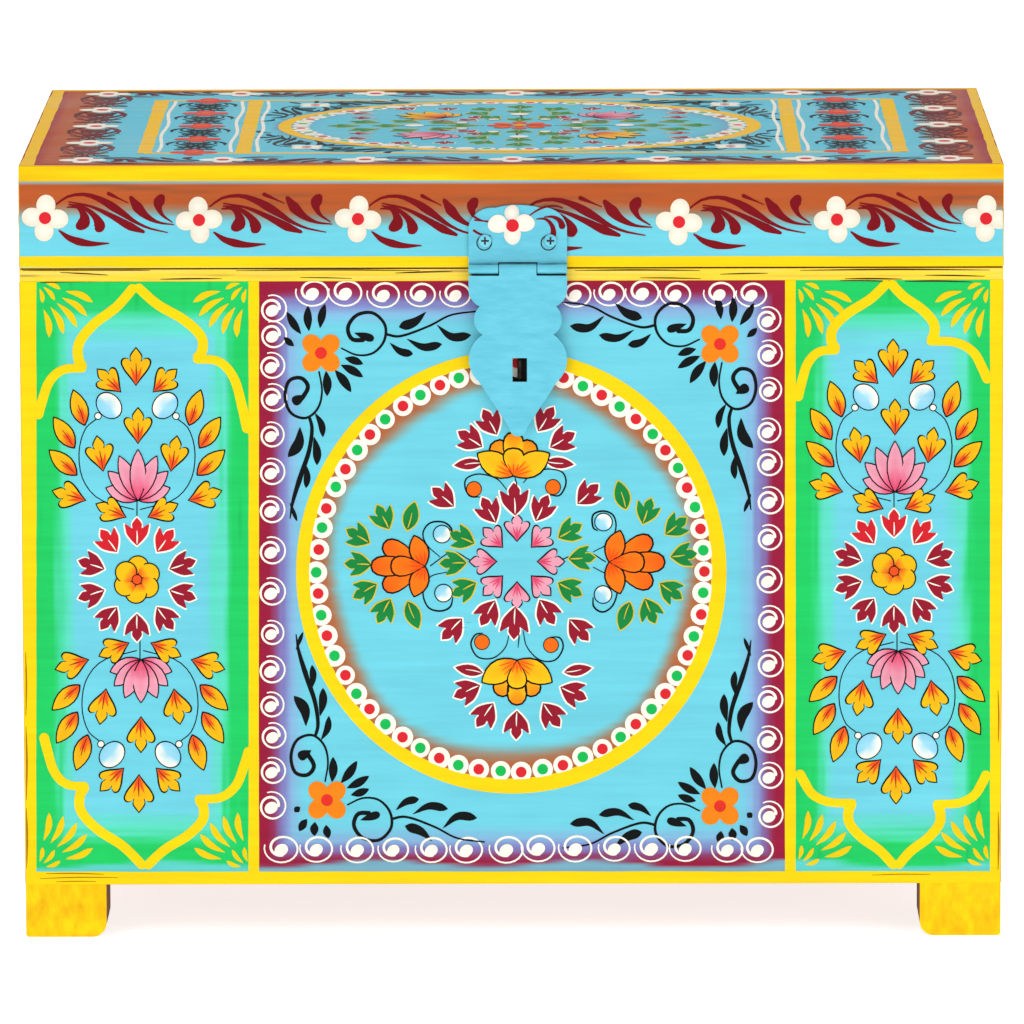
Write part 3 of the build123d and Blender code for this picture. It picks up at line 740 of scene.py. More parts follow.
def narrow_leaf(coat, centre, angle, length, width, edge_tint, base_tint, outline, vein=None, rim=1.1, layer=1):
    """An almond leaf in two tones over its outline."""
    coat.blob(turned(almond(length + 3.2 * rim, width + 2.4 * rim, lean=-0.15), centre, angle), outline, layer)
    shape = almond(length, width, lean=-0.15)
    tint = mix(base_tint, edge_tint, smooth(0.05, 0.4, shape[:, 0] / length + 0.5))
    coat.blob(turned(shape, centre, angle), tint, layer + 1, mix(base_tint, edge_tint, 0.8))
    if outline is BLACK:
        fire_marks(coat, centre, angle, length, base_tint, layer + 2, 0.07)
    elif vein is not None:
        a, b = turned([[-0.44 * length, 0], [0.12 * length, 0]], centre, angle)
        comma(coat, b, a, 0.03, 1.1, vein, layer + 2, peak=0.6, count=6)


def lotus(coat, base, angle, width, height, outer, inner, petals=7, spread=70):
    """A lotus from the side: back petals first, each with a dark outline, darker at the foot.

    Seven petals fan out by 70 degrees to each side, and reach to an ellipse of the lotus's width and height.
    """
    order = sorted(range(petals), key=lambda k: -abs(k - (petals - 1) / 2) - (0.3 if k % 2 else 0))
    for rank, k in enumerate(order):
        side = (k - (petals - 1) / 2) / ((petals - 1) / 2)
        turn = side * spread
        reach = math.hypot(math.cos(math.radians(turn)) * height, math.sin(math.radians(turn)) * width / 2)
        long = max(reach, height * 0.45)
        wide = width * 0.24
        at = turned([[long / 2, 0]], base, angle + turn)[0]
        layer = 1 + rank * 0.55
        coat.blob(turned(almond(long + 3.4, wide + 2.8), at, angle + turn), BLACK, layer)
        shape = almond(long, wide)
        tint = mix(inner, outer, smooth(0.05, 0.55, shape[:, 0] / long + 0.5))
        coat.blob(turned(shape, at, angle + turn), tint, layer + 0.4, mix(inner, outer, 0.75))


def open_lotus(coat, base, angle, width, height, tip_tint, base_tint, wing=59):
    """A lotus with two wide wing petals, three petals behind and one cup in front."""
    far, wide = (1.2, 0.37) if wing < 65 else (0.95, 0.29)
    back = [(-29, 0.95, 0.33), (29, 0.95, 0.33), (0, 1.0, 0.34)]
    plan = [*back, (-wing, far, wide), (wing, far, wide), (0, 0.62, 0.34)]    # degrees, shares of reach and width
    for rank, (turn, far, wide) in enumerate(plan):
        reach = math.hypot(math.cos(math.radians(turn)) * height, math.sin(math.radians(turn)) * width * 0.5)
        long = reach * far
        at = turned([[long / 2, 0]], base, angle + turn)[0]
        body = drop if abs(turn) < 50 else almond
        layer = 1 + rank * 0.5
        coat.blob(turned(body(long + 3.6, width * wide + 3.6), at, angle + turn), BLACK, layer)
        shape = body(long, width * wide)
        place = shape[:, 0] / long + 0.5
        foot, tip = 1 - smooth(0.0, 0.45, place), smooth(0.75, 1.0, place) * (rank < 3)
        tint = mix(tip_tint, base_tint, 0.75 * foot + 0.5 * tip)
        middle = mix(tip_tint, base_tint, 0.12 if rank < 5 else 0.3)
        coat.blob(turned(shape, at, angle + turn), tint, layer + 0.35, middle)
        for aim in (-0.09, 0.0, 0.09):
            a, b = turned([[-0.42 * long, aim * width * 0.3], [-0.05 * long, aim * width]], at, angle + turn)
            comma(coat, b, a, 0.0, 1.3, base_tint, layer + 0.8, peak=0.6, count=5)


def pearl(coat, centre, radius, knob=None, angle=40.0, squash=1.0):
    """A white bead, blue towards the angle, with a fine black outline, and a small bead beside it."""
    oval = circle(radius, 22) * [1 / squash, squash]
    coat.blob(turned(oval * (1 + 1.2 / radius), centre, angle), BLACK, 1)
    tint = mix(CREAM, PEARL_BLUE, smooth(-0.1, 0.35, oval[:, 0] / radius))
    coat.blob(turned(oval, centre, angle), tint, 2, mix(CREAM, PEARL_BLUE, 0.8))
    if knob:
        dot(coat, knob, 3.8, BLACK, 1)
        dot(coat, knob, 2.8, CREAM, 2)


def heading(hub, point):
    """The angle from a hub to a point, 0 up and 90 right."""
    return math.degrees(math.atan2(point[0] - hub[0], hub[1] - point[1]))

# %% [markdown]
# ## Coats for each face
# A face's own right and up directions turn flat places to the box's frame. Every face could be laid out in
# millimetres. The front is laid out in points of the photograph instead, because its pattern is read from
# there, and the other faces in points of the same size from their own middle.

# %% Faces


def front_coat():
    """The front: picture points follow the line of sight to the front plane."""
    return Coat(lambda p: sight(p, 1, FRONT_Y)[:, [0, 2]], (0, FRONT_Y, 0), (1, 0, 0), (0, 0, 1))


def plane_coat(origin, right, up):
    """Any other face: points right and down from the face's middle, UNIT millimetres each."""
    return Coat(lambda p: np.atleast_2d(np.asarray(p, float)) * [UNIT, -UNIT], origin, right, up)


def front_points(x, z):
    """Millimetres on the front back to picture points, for the colour formulas of the ground coats."""
    place = np.stack([x, np.full_like(x, FRONT_Y), z], 1) - CAMERA_PLACE
    c, s = math.cos(YAW), math.sin(YAW)
    across, ahead, up = place[:, 0] * c + place[:, 1] * s, -place[:, 0] * s + place[:, 1] * c, place[:, 2]
    c, s = math.cos(PITCH), math.sin(PITCH)
    depth, rise = ahead * c - up * s, ahead * s + up * c
    u, v = across / depth * FOCAL_POINTS, -rise / depth * FOCAL_POINTS
    c, s = math.cos(ROLL), math.sin(ROLL)
    return FRAME_POINTS / 2 + u * c - v * s, FRAME_POINTS / 2 + u * s + v * c


def streaks(x, y, along, seed):
    """Soft streaks, about -1 to 1 and long in one direction.

    The sum of 14 terms sin(k*v + phase + 1.3*sin(slow*u + lean)) * sin(0.7*slow*u + lean), divided by 5.
    """
    u, v = (x, y) if along == "x" else (y, x)
    rng = np.random.default_rng(seed)
    total = np.zeros_like(x)
    for _ in range(14):
        k, phase = rng.uniform(0.15, 1.6), rng.uniform(0, 6.3)
        slow, lean = rng.uniform(0.004, 0.03), rng.uniform(0, 6.3)
        total += np.sin(k * v + phase + 1.3 * np.sin(slow * u + lean)) * np.sin(slow * u * 0.7 + lean)
    return total / 5


# %% [markdown]
# ## Ground coats of the front
# The painter lays the grounds first and draws wet colours into each other with a wide brush. The side
# panels are green at their edges and sky blue inside. The middle panel fades from maroon through purple to
# sky blue, and a rust ring lies under the dots. The fades could be a shader's gradients. As formulas of
# the place, with uneven streaks added to the distance, they land on the same vertices as the skin.

# %% Ground colours
LEFT_PANEL = (37, 279, 249, 872)
MIDDLE_PANEL = (259, 279, 785, 872)
RIGHT_PANEL = (796, 279, 990, 872)
RING_CENTRE = (511.0, 571.5)
RING_RADII = (208.0, 214.5)


def green_panel(x, y, panel, seed):
    """Green within about 30 points of the panel's edge, teal then sky blue inside."""
    x0, y0, x1, y1 = panel
    sway = 7 * streaks(x, y, "y", seed)
    side = np.minimum(x - x0, x1 - x) + sway
    end = np.minimum(y - y0, y1 - y) + 6 * streaks(x, y, "x", seed + 1)
    near = np.maximum(1 - smooth(4, 48, side), 1 - smooth(6, 74, end))
    colour = mix(SKY, TEAL, smooth(0.0, 0.45, near))
    colour = mix(colour, GREEN, smooth(0.38, 0.85, near))
    dark = smooth(0.5, 1.2, streaks(x, y, "y", seed + 2)) * smooth(0.6, 1, near)
    return mix(colour, GREEN * 0.86, dark)


def middle_panel(x, y, panel, centre=RING_CENTRE):
    """Maroon at the border, purple and lavender further in, and rust just inside the yellow ring."""
    x0, y0, x1, y1 = panel
    side = np.minimum(x - x0, x1 - x) + 2.5 * streaks(x, y, "y", 5)
    end = np.minimum(y - y0, y1 - y) + 2.5 * streaks(x, y, "x", 6)
    near = np.minimum(side, end)
    colour = mix(MAROON, PURPLE, smooth(10, 24, near))
    colour = mix(colour, LAVENDER, smooth(22, 34, near))
    colour = mix(colour, SKY, smooth(30, 50, near))
    dx, dy = (x - centre[0]) / RING_RADII[0], (y - centre[1]) / RING_RADII[1]
    radius = np.hypot(dx, dy) * RING_RADII[0]
    inner = radius + 4 * np.sin(5 * np.arctan2(dy, dx)) + 2 * streaks(x, y, "x", 9)
    rust = smooth(170, 190, inner)
    return np.where(radius[:, None] < RING_RADII[0], mix(SKY, RUST, rust * 0.9), colour)


def front_ground(x, z):
    """The whole lower front, panel by panel, in picture points."""
    px, py = front_points(x, z)
    colour = np.tile(YELLOW, (len(x), 1))
    edge = 861.5 + 2 * streaks(px, py, "x", 71) + 3.5 * np.sin(px / 34.0)
    for panel, paint in (
        (LEFT_PANEL, lambda: green_panel(px, py, LEFT_PANEL, 11)),
        (RIGHT_PANEL, lambda: green_panel(px, py, RIGHT_PANEL, 31)),
        (MIDDLE_PANEL, lambda: middle_panel(px, py, MIDDLE_PANEL)),
    ):
        inside = (px > panel[0] - 6) & (px < panel[2] + 6) & (py < panel[3] + 8)
        colour = np.where(inside[:, None], mix(paint(), SKY, 0.8 * smooth(edge, edge + 4, py)), colour)
    return colour


def lid_front_ground(x, z):
    """Rust above, sky blue below, on the front of the lid."""
    px, py = front_points(x, z)
    level = py + 3.0 * streaks(px, py, "x", 21) + 4 * np.sin(px / 70.0)
    worn = smooth(0.1, 0.9, streaks(px, 2.5 * py, "x", 22))
    colour = mix(mix(RUST, RUST_WORN, 0.6 * worn), SKY, smooth(203, 226, level))
    return mix(SKY, colour, smooth(180.5, 184, py))


# %% Ground skins
body_front = front_coat()
FACE_BODY = ((LEFT_X + EDGE, BODY_LOW_Z + EDGE), (RIGHT_X - EDGE, BODY_TOP_Z - 0.1))
body_front.skin(*FACE_BODY, 1.5, front_ground)
lid_front = front_coat()
FACE_LID = ((LEFT_X + EDGE, RAIL_LOW_Z + EDGE), (RIGHT_X - EDGE, RAIL_TOP_Z - 0.1))
lid_front.skin(*FACE_LID, 1.5, lid_front_ground)

# %% [markdown]
# ## Yellow lines of the front
# Yellow strips frame the panels, ogee arches close the side panels, and a big ring holds the wreath. They
# are pulled freehand, so their edges waver. A clean rectangle or circle with a Curve bevel would look
# printed. A ribbon whose width changes a little from point to point looks brushed.

# %% Yellow lines


def band(coat, start, end, width, tint=YELLOW, layer=0, seed=0, wobble=0.5):
    """A straight painted strip whose edge wavers by a fraction of a point."""
    t = np.linspace(0, 1, 26)
    line = np.outer(1 - t, start) + np.outer(t, end)
    rng = np.random.default_rng(seed)
    coat.stroke(line, width + wobble * rng.uniform(-1, 1, 26), tint, layer, square=True)


for number, (start, end, width) in enumerate([
    ((29.4, 279.5), (29.4, 884.0), 14.4), ((253.8, 279.5), (253.8, 884.0), 10.6),
    ((790.3, 279.5), (790.3, 884.0), 11.0), ((996.2, 279.5), (996.2, 884.0), 12.6),
    ((18.0, 877.6), (1006.0, 877.0), 12.4),
]):
    band(body_front, start, end, width, seed=number)
band(lid_front, (18.0, 261.8), (1006.0, 261.6), 11.5, seed=8)


def arch(coat, foot_left, notch_left, apex, notch_right, foot_right, width=10.0):
    """An ogee arch: quarter rounds rise from the feet to the notches, then S curves meet in the apex."""
    nl, nr, ax = np.array(notch_left), np.array(notch_right), np.array(apex)
    for foot, notch in ((foot_left, nl), (foot_right, nr)):
        way, rise = np.array(foot) - notch, ax - notch
        quarter = ((-0.06, 0.0), (0.43, 0.03), (0.73, 0.26), (0.89, 0.65), (1, 1))
        low = curve_through([notch + way * k for k in quarter], 22)
        coat.stroke(low, width * np.linspace(0.86, 1.0, 22), YELLOW, 1)
        high = curve_through([notch + rise * k for k in (
            (0.02, -0.02), (-0.10, 0.11), (-0.08, 0.31), (0.20, 0.53), (0.64, 0.74), (1.0, 1.0))], 30)
        coat.stroke(high, width * np.linspace(1.05, 0.95, 30), YELLOW, 1)


arch(body_front, (37, 419), (83.6, 368), (135.5, 285), (196, 359), (248, 433))
arch(body_front, (43, 733), (86, 786), (145, 868), (198, 799), (250, 747))
arch(body_front, (797, 401), (837, 350), (889, 281), (930, 341), (989, 383))
arch(body_front, (798, 770), (853, 803), (896, 868), (936, 804), (988, 771))

rng = np.random.default_rng(4)


def ring(coat, centre, radii, width, dots, inset, outer, inner, tints, tint=YELLOW):
    """A yellow ring that swells a little on its way round, and a row of dots inside it."""
    t = np.linspace(0, 2 * math.pi, 120, endpoint=False)
    line = np.stack([centre[0] + radii[0] * np.sin(t), centre[1] - radii[1] * np.cos(t)], 1)
    coat.stroke(line, width * (1 + 0.11 * np.sin(t - 0.6) + 0.05 * np.sin(3 * t)), tint, 1, closed=True)
    for k in range(dots):
        angle = 2 * math.pi * (k + 0.5) / dots
        x, y = (radii[0] - inset) * math.sin(angle), -(radii[1] - inset) * math.cos(angle)
        at = (centre[0] + x + rng.uniform(-1, 1), centre[1] + y + rng.uniform(-1, 1))
        eye_dot(coat, at, outer + rng.uniform(-0.6, 0.9), inner, tints[k % len(tints)])


# %% [markdown]
# ## Dots of the ring and curls of the border
# The dots are pressed with the end of a stick, cream first and the colour on top. The curls are one turn
# and a bit of a fine brush that ends in a full dab. An Array modifier could set them out evenly. The real
# ones are spaced by eye, so each row lists its own places and every curl is moved a little at random.

# %% Dots and curls
ring(body_front, RING_CENTRE, RING_RADII, 14.5, 58, 14, 10.2, 5.4, (RED, DOT_GREEN))

TOP_CURLS = (313, 346, 384, 421, 456, 576, 610, 643, 676, 720, 752)
LEFT_CURLS = (309, 335, 366, 398, 435, 472, 510, 551, 592, 633, 670, 705, 736, 771, 806)
RIGHT_CURLS = (320, 354, 390, 431, 463, 501, 538, 580, 620, 664, 700, 740, 776, 815)
BOTTOM_CURLS = (282, 317, 358, 394, 432, 467, 507, 539, 576, 615, 652, 686, 728, 758)
for x in TOP_CURLS:
    border_curl(body_front, (x, 293 + rng.uniform(-1, 1)), 14 + rng.uniform(-1, 1), 285, -1, 1.22)
for x in BOTTOM_CURLS:
    border_curl(body_front, (x, 848 + rng.uniform(-1, 1)), 14 + rng.uniform(-1, 1), 285, -1, 1.2)
for y in LEFT_CURLS:
    border_curl(body_front, (272 + rng.uniform(-1, 1), y), 13.5 + rng.uniform(-1, 1), -20)
for y in RIGHT_CURLS:
    border_curl(body_front, (769 + rng.uniform(-1, 1), y), 13.5 + rng.uniform(-1, 1), 330)

body_front.build("front_ground_paint", "box", "paintwork", paint_x, FACE_BODY)
front_motifs = front_coat()

# %% [markdown]
# ## The middle of the front
# A wreath of pink petals, wine and green leaves, four lotuses, and beads on fine curls. Mirroring one
# quarter would be shorter, but the four quarters of the real one differ, so each leaf has its own place
# and turns away from a hub.

# %% Middle motif
HUB = (517, 561.5)


def middle_motif(coat, move=(0, 0)):
    """The whole wreath inside the ring. move shifts it, to repeat it on another face."""

    def at(point):
        """The point, shifted by move."""
        return (point[0] + move[0], point[1] + move[1])

    def wine_leaf(point, hub, size=29):
        """A wine-red leaf that points away from its hub."""
        leaf(coat, at(point), heading(hub, point), size, LEAF_WINE, LEAF_WINE * 0.9, CREAM, CREAM, 1.9,
             lobes=SHARP_LOBES)

    def green_leaf(point, hub, size=27):
        """A green leaf that points away from its hub."""
        leaf(coat, at(point), heading(hub, point), size, LEAF_GREEN, LEAF_GREEN * 0.88,
             OUTLINE_GOLD, OUTLINE_GOLD, 1.5, lobes=SHARP_LOBES)

    for x, y, bow in ((514, 474, -0.06), (518, 648, 0.06)):
        comma(coat, at((517, 561 + (y - 561) * 0.72)), at((x, y)), bow, 1.4, BLACK, 1, peak=0.5)
    for start, middle, end in (
        ((430, 566), (452, 552), (470, 560)), ((606, 562), (586, 552), (560, 560)),
    ):
        coat.stroke(curve_through([at(start), at(middle), at(end)], 14), 1.3, BLACK, 0)
    for k in range(8):
        angle = k * 45
        point = turned([[34, 0]], HUB, angle)[0]
        shape = lobed_leaf(26, wide=1.2)
        coat.blob(turned(lobed_leaf(26, grow=1.6, wide=1.2), at(point), angle), BLACK, 1, heart=at(point))
        tint = mix(ROSE, PINK, smooth(0.0, 0.5, shape[:, 0] / 26 + 0.5))
        coat.blob(turned(shape, at(point), angle), tint, 2, PINK, heart=at(point))
        for aim in (-0.16, 0.0, 0.16):
            a, b = turned([[-11, 0], [1, 26 * aim]], at(point), angle)
            comma(coat, b, a, 0.0, 1.5, ROSE, 3, peak=0.6, count=5)
    for point in ((514.5, 499), (489, 510), (542, 508), (443, 497), (588, 494),
                  (514.5, 623), (488, 613), (547, 612), (452, 629), (579, 630)):
        wine_leaf(point, HUB, 33 if abs(point[0] - 515) < 2 else 29)
    for point in ((490, 422), (470, 439), (546, 419), (562.5, 440)):
        wine_leaf(point, (515, 468))
    for point in ((467, 691), (485, 715), (516.5, 725), (551.5, 715), (573.5, 693)):
        wine_leaf(point, (518, 668))
    for point, hub in (((468, 464), (500, 461)), ((560, 463), (530, 460)),
                       ((469, 670), (500, 676)), ((578, 670), (540, 676))):
        narrow_leaf(coat, at(point), heading(hub, point), 28, 11, LEAF_WINE, LEAF_WINE * 0.9, CREAM, CREAM, 1.6)
    for point in ((462, 538), (453, 563), (464, 589), (570, 531), (582, 558), (570, 589)):
        green_leaf(point, HUB)
    for point in ((383, 517), (358, 536), (358, 564), (365, 591), (384, 611)):
        green_leaf(point, (408, 566))
    for point in ((647, 511), (676, 526), (684, 555), (671, 591), (650, 611)):
        green_leaf(point, (630, 562))
    for point, hub in (((411, 516), (403, 545)), ((413, 615), (403, 590)),
                       ((622, 495), (632, 530)), ((625, 616), (634, 590))):
        narrow_leaf(coat, at(point), heading(hub, point), 29, 15, LEAF_GREEN, LEAF_GREEN * 0.88,
                    OUTLINE_GOLD, OUTLINE_GOLD)
    for line, bead in (
        (((440, 557), (427, 545), (423, 533), (430, 523), (443, 522), (451, 528), (452, 537)), (442, 534)),
        (((447, 572), (430, 577), (423, 592), (428, 607), (440, 611), (450, 607), (453, 597)), (443.5, 593)),
        (((593, 552), (610, 542), (616, 527), (613, 515), (603, 511), (593, 515), (593, 527), (598, 531)),
         (603.5, 522)),
        (((593, 567), (610, 577), (617, 590), (613, 605), (603, 612), (594, 607), (593, 597)), (603, 594.5)),
    ):
        coat.stroke(curve_through([at(p) for p in line], 34), taper(34, 1.9, 0.9, 0.8), BLACK, 1)
        pearl(coat, at(bead), 8.2, angle=-45 if bead[0] < 500 else 225)
    for line, berry in (
        (((523, 483), (532, 474), (547, 469), (562, 472), (566, 483), (560, 495), (550, 495)), (553, 487)),
        (((507, 490), (497, 479), (480, 474), (467, 478), (465, 487), (470, 496), (480, 497)), (474, 489)),
        (((509, 635), (505, 648), (493, 658), (478, 657), (471, 645), (475, 635), (483, 633)), (482, 642)),
        (((523, 630), (527, 647), (540, 660), (555, 660), (563, 648), (560, 638), (550, 637)), (551, 645)),
    ):
        coat.stroke(curve_through([at(p) for p in line], 34), taper(34, 1.7, 0.9, 0.8), BLACK, 1)
        dot(coat, at(berry), 8, BLACK, 1)
        dot(coat, at(berry), 7, mix(LOTUS_ORANGE, LOTUS_RED, 0.3), 2)
    open_lotus(coat, at((513.5, 475)), 0, 62, 42, LOTUS_YELLOW, LOTUS_RED)
    open_lotus(coat, at((517, 661)), 180, 58, 43, LOTUS_YELLOW, LOTUS_RED)
    open_lotus(coat, at((424, 566)), -90, 60, 52, LOTUS_ORANGE, LOTUS_RED, 72)
    open_lotus(coat, at((610, 562)), 90, 62, 54, LOTUS_ORANGE, LOTUS_RED, 72)


middle_motif(front_motifs)

# %% [markdown]
# ## Corners of the middle panel
# An orange flower sits in each corner, with black petal strokes, two curls, and leafy sprays along the
# sides. The four corners are the same plant turned over, so one function draws it with two signs. Mirrored
# objects would need their faces turned back, while a sign on each point keeps them right.

# %% Corner sprays


def corner(coat, centre, sx, sy, reach=1.0):
    """One corner. sx and sy point from the corner flower towards the panel's middle.

    reach shortens the outer petals where the border is near.
    """
    cx, cy = centre

    def at(x, y):
        """The corner flower's place plus the offset, turned over by the two signs."""
        return (cx + sx * x, cy + sy * y)

    def stroke(a, b, bend, width, peak=0.7):
        """A black petal stroke. It bends the other way where one sign is turned."""
        comma(coat, at(*a), at(*b), bend * sx * sy, width, BLACK, 1, peak=peak)

    for a, b, width in (((-27, -7), (-37, -16), 6.5), ((-20, -19), (-34, -41), 8), ((-12, -22), (-13, -47), 8.5),
                        ((-1, -25), (4, -49), 8), ((24, 5), (42, 11), 8), ((20, 12), (42, 24), 8.5),
                        ((14, 17), (30, 39), 9), ((5, 18), (6, 43), 9)):
        share = reach if b[1] < 0 else 1.0
        stroke(a, (a[0] + (b[0] - a[0]) * share, a[1] + (b[1] - a[1]) * share), 0.03, width, 0.5)
    side = 1 if sx * sy > 0 else -1
    curl = ((20, -5), (36, 2), (52, 0), (63, -12), (64, -28), (52, -40), (36, -38), (27, -26), (31, -14),
            (44, -13))
    coat.stroke(curve_through([at(*p) for p in curl], 40), np.linspace(1.6, 4.6, 40), BLACK, 1)
    coat.blob(turned(drop(21, 9), at(43, -17), 90 * sx + 18 * side), BLACK, 1)
    vine = [at(64, -19), at(80, -17), at(108, -27), at(130, -38), at(158, -42)]
    coat.stroke(curve_through(vine, 22), np.linspace(2.8, 1.6, 22), BLACK, 1)
    for a, b, bend, width in (((105, -41), (78, -26), 0.1, 10), ((69, -10), (92, 1), -0.12, 8),
                              ((86, -14), (121, -9), -0.16, 8.5), ((116, -28), (150, -18), -0.2, 9)):
        stroke(a, b, bend, width, 0.75)
    curl = ((-2, 18), (1, 38), (-3, 55), (-15, 65), (-30, 60), (-36, 44), (-32, 28), (-20, 25), (-13, 34),
            (-20, 47))
    coat.stroke(curve_through([at(*p) for p in curl], 40), np.linspace(1.6, 4.6, 40), BLACK, 1)
    coat.blob(turned(drop(15, 11), at(-22, 46), 90 * sx + 150), BLACK, 1)
    vine = [at(-12, 63), at(-9, 76), at(-12, 98), at(-20, 122), at(-28, 148), at(-31, 166)]
    coat.stroke(curve_through(vine, 24), np.interp(np.arange(24), [0, 15, 23], [3.0, 5.2, 1.0]), BLACK, 1)
    for a, b, bend, width in (((-6, 60), (2, 84), 0.1, 7), ((-21, 74), (-33, 104), 0.15, 11),
                              ((-7, 84), (-4, 112), 0.05, 8.5), ((-15, 112), (-15, 135), 0.05, 7),
                              ((-31, 150), (-24, 168), 0.0, 4)):
        stroke(a, b, bend, width, 0.6)
    four_petals(coat, centre, 40, ORANGE, mix(RED, LOTUS_RED, 0.3), 45, 2)


corner(front_motifs, (321, 353), 1, 1)
corner(front_motifs, (720, 344), -1, 1)
corner(front_motifs, (327, 800), 1, -1, 0.55)
corner(front_motifs, (720, 806), -1, -1, 0.5)

# %% [markdown]
# ## The side panels of the front
# Gold leaves, beads and two lotuses stand above and below a wreath of red and wine leaves. The lower half
# is the upper one upside down, moved a few points as the painter did, so one function draws both. Each
# gold leaf has fine red strokes at its foot, which a two-tone fade alone wouldn't show.

# %% Side panel motifs


def gold_leaf(coat, point, angle, length=33):
    """A three-lobed leaf, gold with a red foot, outlined in black."""
    leaf(coat, point, angle, length, LEAF_GOLD, LEAF_FIRE, BLACK, vein=BLACK)


def gold_almond(coat, point, angle):
    """A narrow leaf, gold with a red foot, outlined in black."""
    narrow_leaf(coat, point, angle, 35, 15.5, LEAF_GOLD, LEAF_FIRE, BLACK, vein=BLACK, rim=1.2)


def stem(coat, points, width=1.2):
    """A fine black line under the leaves."""
    coat.stroke(curve_through(points, 18), width, BLACK, 0)


def side_half(coat, cx, mid_y, up):
    """Half of a side panel's plant, from the wreath outwards. up is 1 for the upper half, -1 for the lower."""

    def at(x, y):
        """A point from its distance to the panel's middle, to the right and outwards."""
        return (cx + x, mid_y - up * y)

    def aim(angle):
        """An angle measured from the outward direction."""
        return angle if up > 0 else 180 - angle

    for side in (-1, 1):
        loop = ((40, 161), (52, 150), (58, 127), (54, 100), (37, 80), (3, 70))
        stem(coat, [at(x * side, y) for x, y in loop])
        gold_leaf(coat, at(28 * side, 199), aim(46 * side), 31)
        gold_leaf(coat, at(37 * side, 126), aim(10 * side), 34)
        gold_leaf(coat, at(26 * side, 69), aim(66 * side), 31)
        gold_almond(coat, at(58 * side, 172), aim(18 * side))
        gold_almond(coat, at(73 * side, 147), aim(34 * side))
        gold_almond(coat, at(74 * side, 117), aim(48 * side))
        gold_leaf(coat, at(68 * side, 84), aim(74 * side), 33)
        pearl(coat, at(28 * side, 174), 12.2, at(39 * side, 163.5), aim(132 * side), 1.12)
    gold_leaf(coat, at(-1, 213), aim(0), 36)
    gold_leaf(coat, at(1, 154), aim(0), 34)
    stem(coat, [at(0, 58), at(0, 66), at(0, 84)])
    lotus(coat, at(1, 80), aim(0), 61, 49 if up > 0 else 41, PINK, ROSE)


def side_panel(coat, cx, mid_y):
    """A whole side panel: two halves and the wreath in the middle."""
    side_half(coat, cx, mid_y, 1)
    side_half(coat, cx + 3, mid_y + 1, -1)
    for k in range(10):
        angle = 36 * k
        bright = k in (0, 1, 9)
        point = turned([[48, 0]], (cx, mid_y), angle)[0]
        tint = LEAF_RED if bright else LEAF_WINE
        leaf(coat, point, angle, 28, tint, tint * 0.92, CREAM, CREAM, 1.8, lobes=SHARP_LOBES)
    for k in range(6):
        at = turned([[13, 0]], (cx, mid_y), 60 * k + 4)[0]
        coat.blob(turned(circle(11.4, 18), at, 60 * k + 4), BLACK, 1 + k * 0.5)
        petal = circle(10.1, 18)
        tint = mix(LEAF_FIRE, LEAF_GOLD, smooth(-0.9, -0.1, petal[:, 0] / 10))
        coat.blob(turned(petal, at, 60 * k + 4), tint, 1.4 + k * 0.5, LEAF_GOLD)
    dot(coat, (cx, mid_y), 5.4, BLACK, 4.2)
    dot(coat, (cx, mid_y), 4.4, LEAF_FIRE, 4.8)


def grass(coat, corner_at, sx, sy):
    """Gold petal strokes that fan out of a panel's corner in two rows."""
    tint = mix(YELLOW, LEAF_GOLD, 0.4)
    for count, near, far, width in ((3, 9, 27, 4.6), (5, 30, 62, 6.6)):
        for k in range(count):
            angle = math.radians(11 + 57 * k / (count - 1))
            reach = far - 4 * abs(math.cos(2 * angle))
            a = (corner_at[0] + sx * near * math.sin(angle), corner_at[1] + sy * near * math.cos(angle))
            b = (corner_at[0] + sx * reach * math.sin(angle), corner_at[1] + sy * reach * math.cos(angle))
            comma(coat, a, b, 0.08 * sx * sy, width, tint, 1, peak=0.62, count=8)


side_panel(front_motifs, 137, 579.5)
side_panel(front_motifs, 894, 571)
for x, y, sx, sy in ((38, 280, 1, 1), (248, 280, -1, 1), (38, 870, 1, -1), (249, 870, -1, -1),
                     (797, 280, 1, 1), (990, 280, -1, 1), (797, 868, 1, -1), (990, 868, -1, -1)):
    grass(front_motifs, (x, y), sx, sy)

# %% [markdown]
# ## Dirt and painted shade on the front
# Years of use leave dark cracks under the rim and brown rubs at the edges. Behind the slot of the strap,
# where the rusty staple stands, the board is painted near-black: painted shade of the strap. Noise would
# scatter such marks anywhere. They belong to a few places, so they are set down as strokes like the paint.

# %% Dirt and painted shade
for a, b, width in (((40, 282.6), (92, 281.4), 1.7), ((88, 281.6), (131, 280.8), 1.3),
                    ((840, 280.6), (890, 281.6), 1.2), ((905, 281.4), (972, 282.0), 1.6)):
    comma(front_motifs, a, b, 0.01, width, GRIME, 1, peak=0.4)
for a, b, width in (((25.6, 652), (25.9, 716), 1.6), ((26.0, 726), (26.4, 800), 1.9),
                    ((26.4, 808), (26.8, 868), 2.1), ((998, 690), (998.4, 742), 1.6),
                    ((998.2, 812), (998, 870), 2.0), ((46, 873.5), (104, 874.2), 1.2),
                    ((40, 878.5), (118, 877.6), 1.1), ((56, 881.8), (96, 881.4), 1.0),
                    ((872, 875), (930, 874.4), 1.0)):
    comma(front_motifs, a, b, 0.01, width, SOIL, 1, peak=0.45, count=16)
# Painted shade: a near-black patch on the board behind the strap's slot, where the strap shades it.
slot_shade_outline = [[517.5, 357], [531, 356], [531, 384], [512, 384], [512, 376], [517, 372]]
front_motifs.blob(slot_shade_outline, SLOT_PAINTED_SHADE, 3.2)
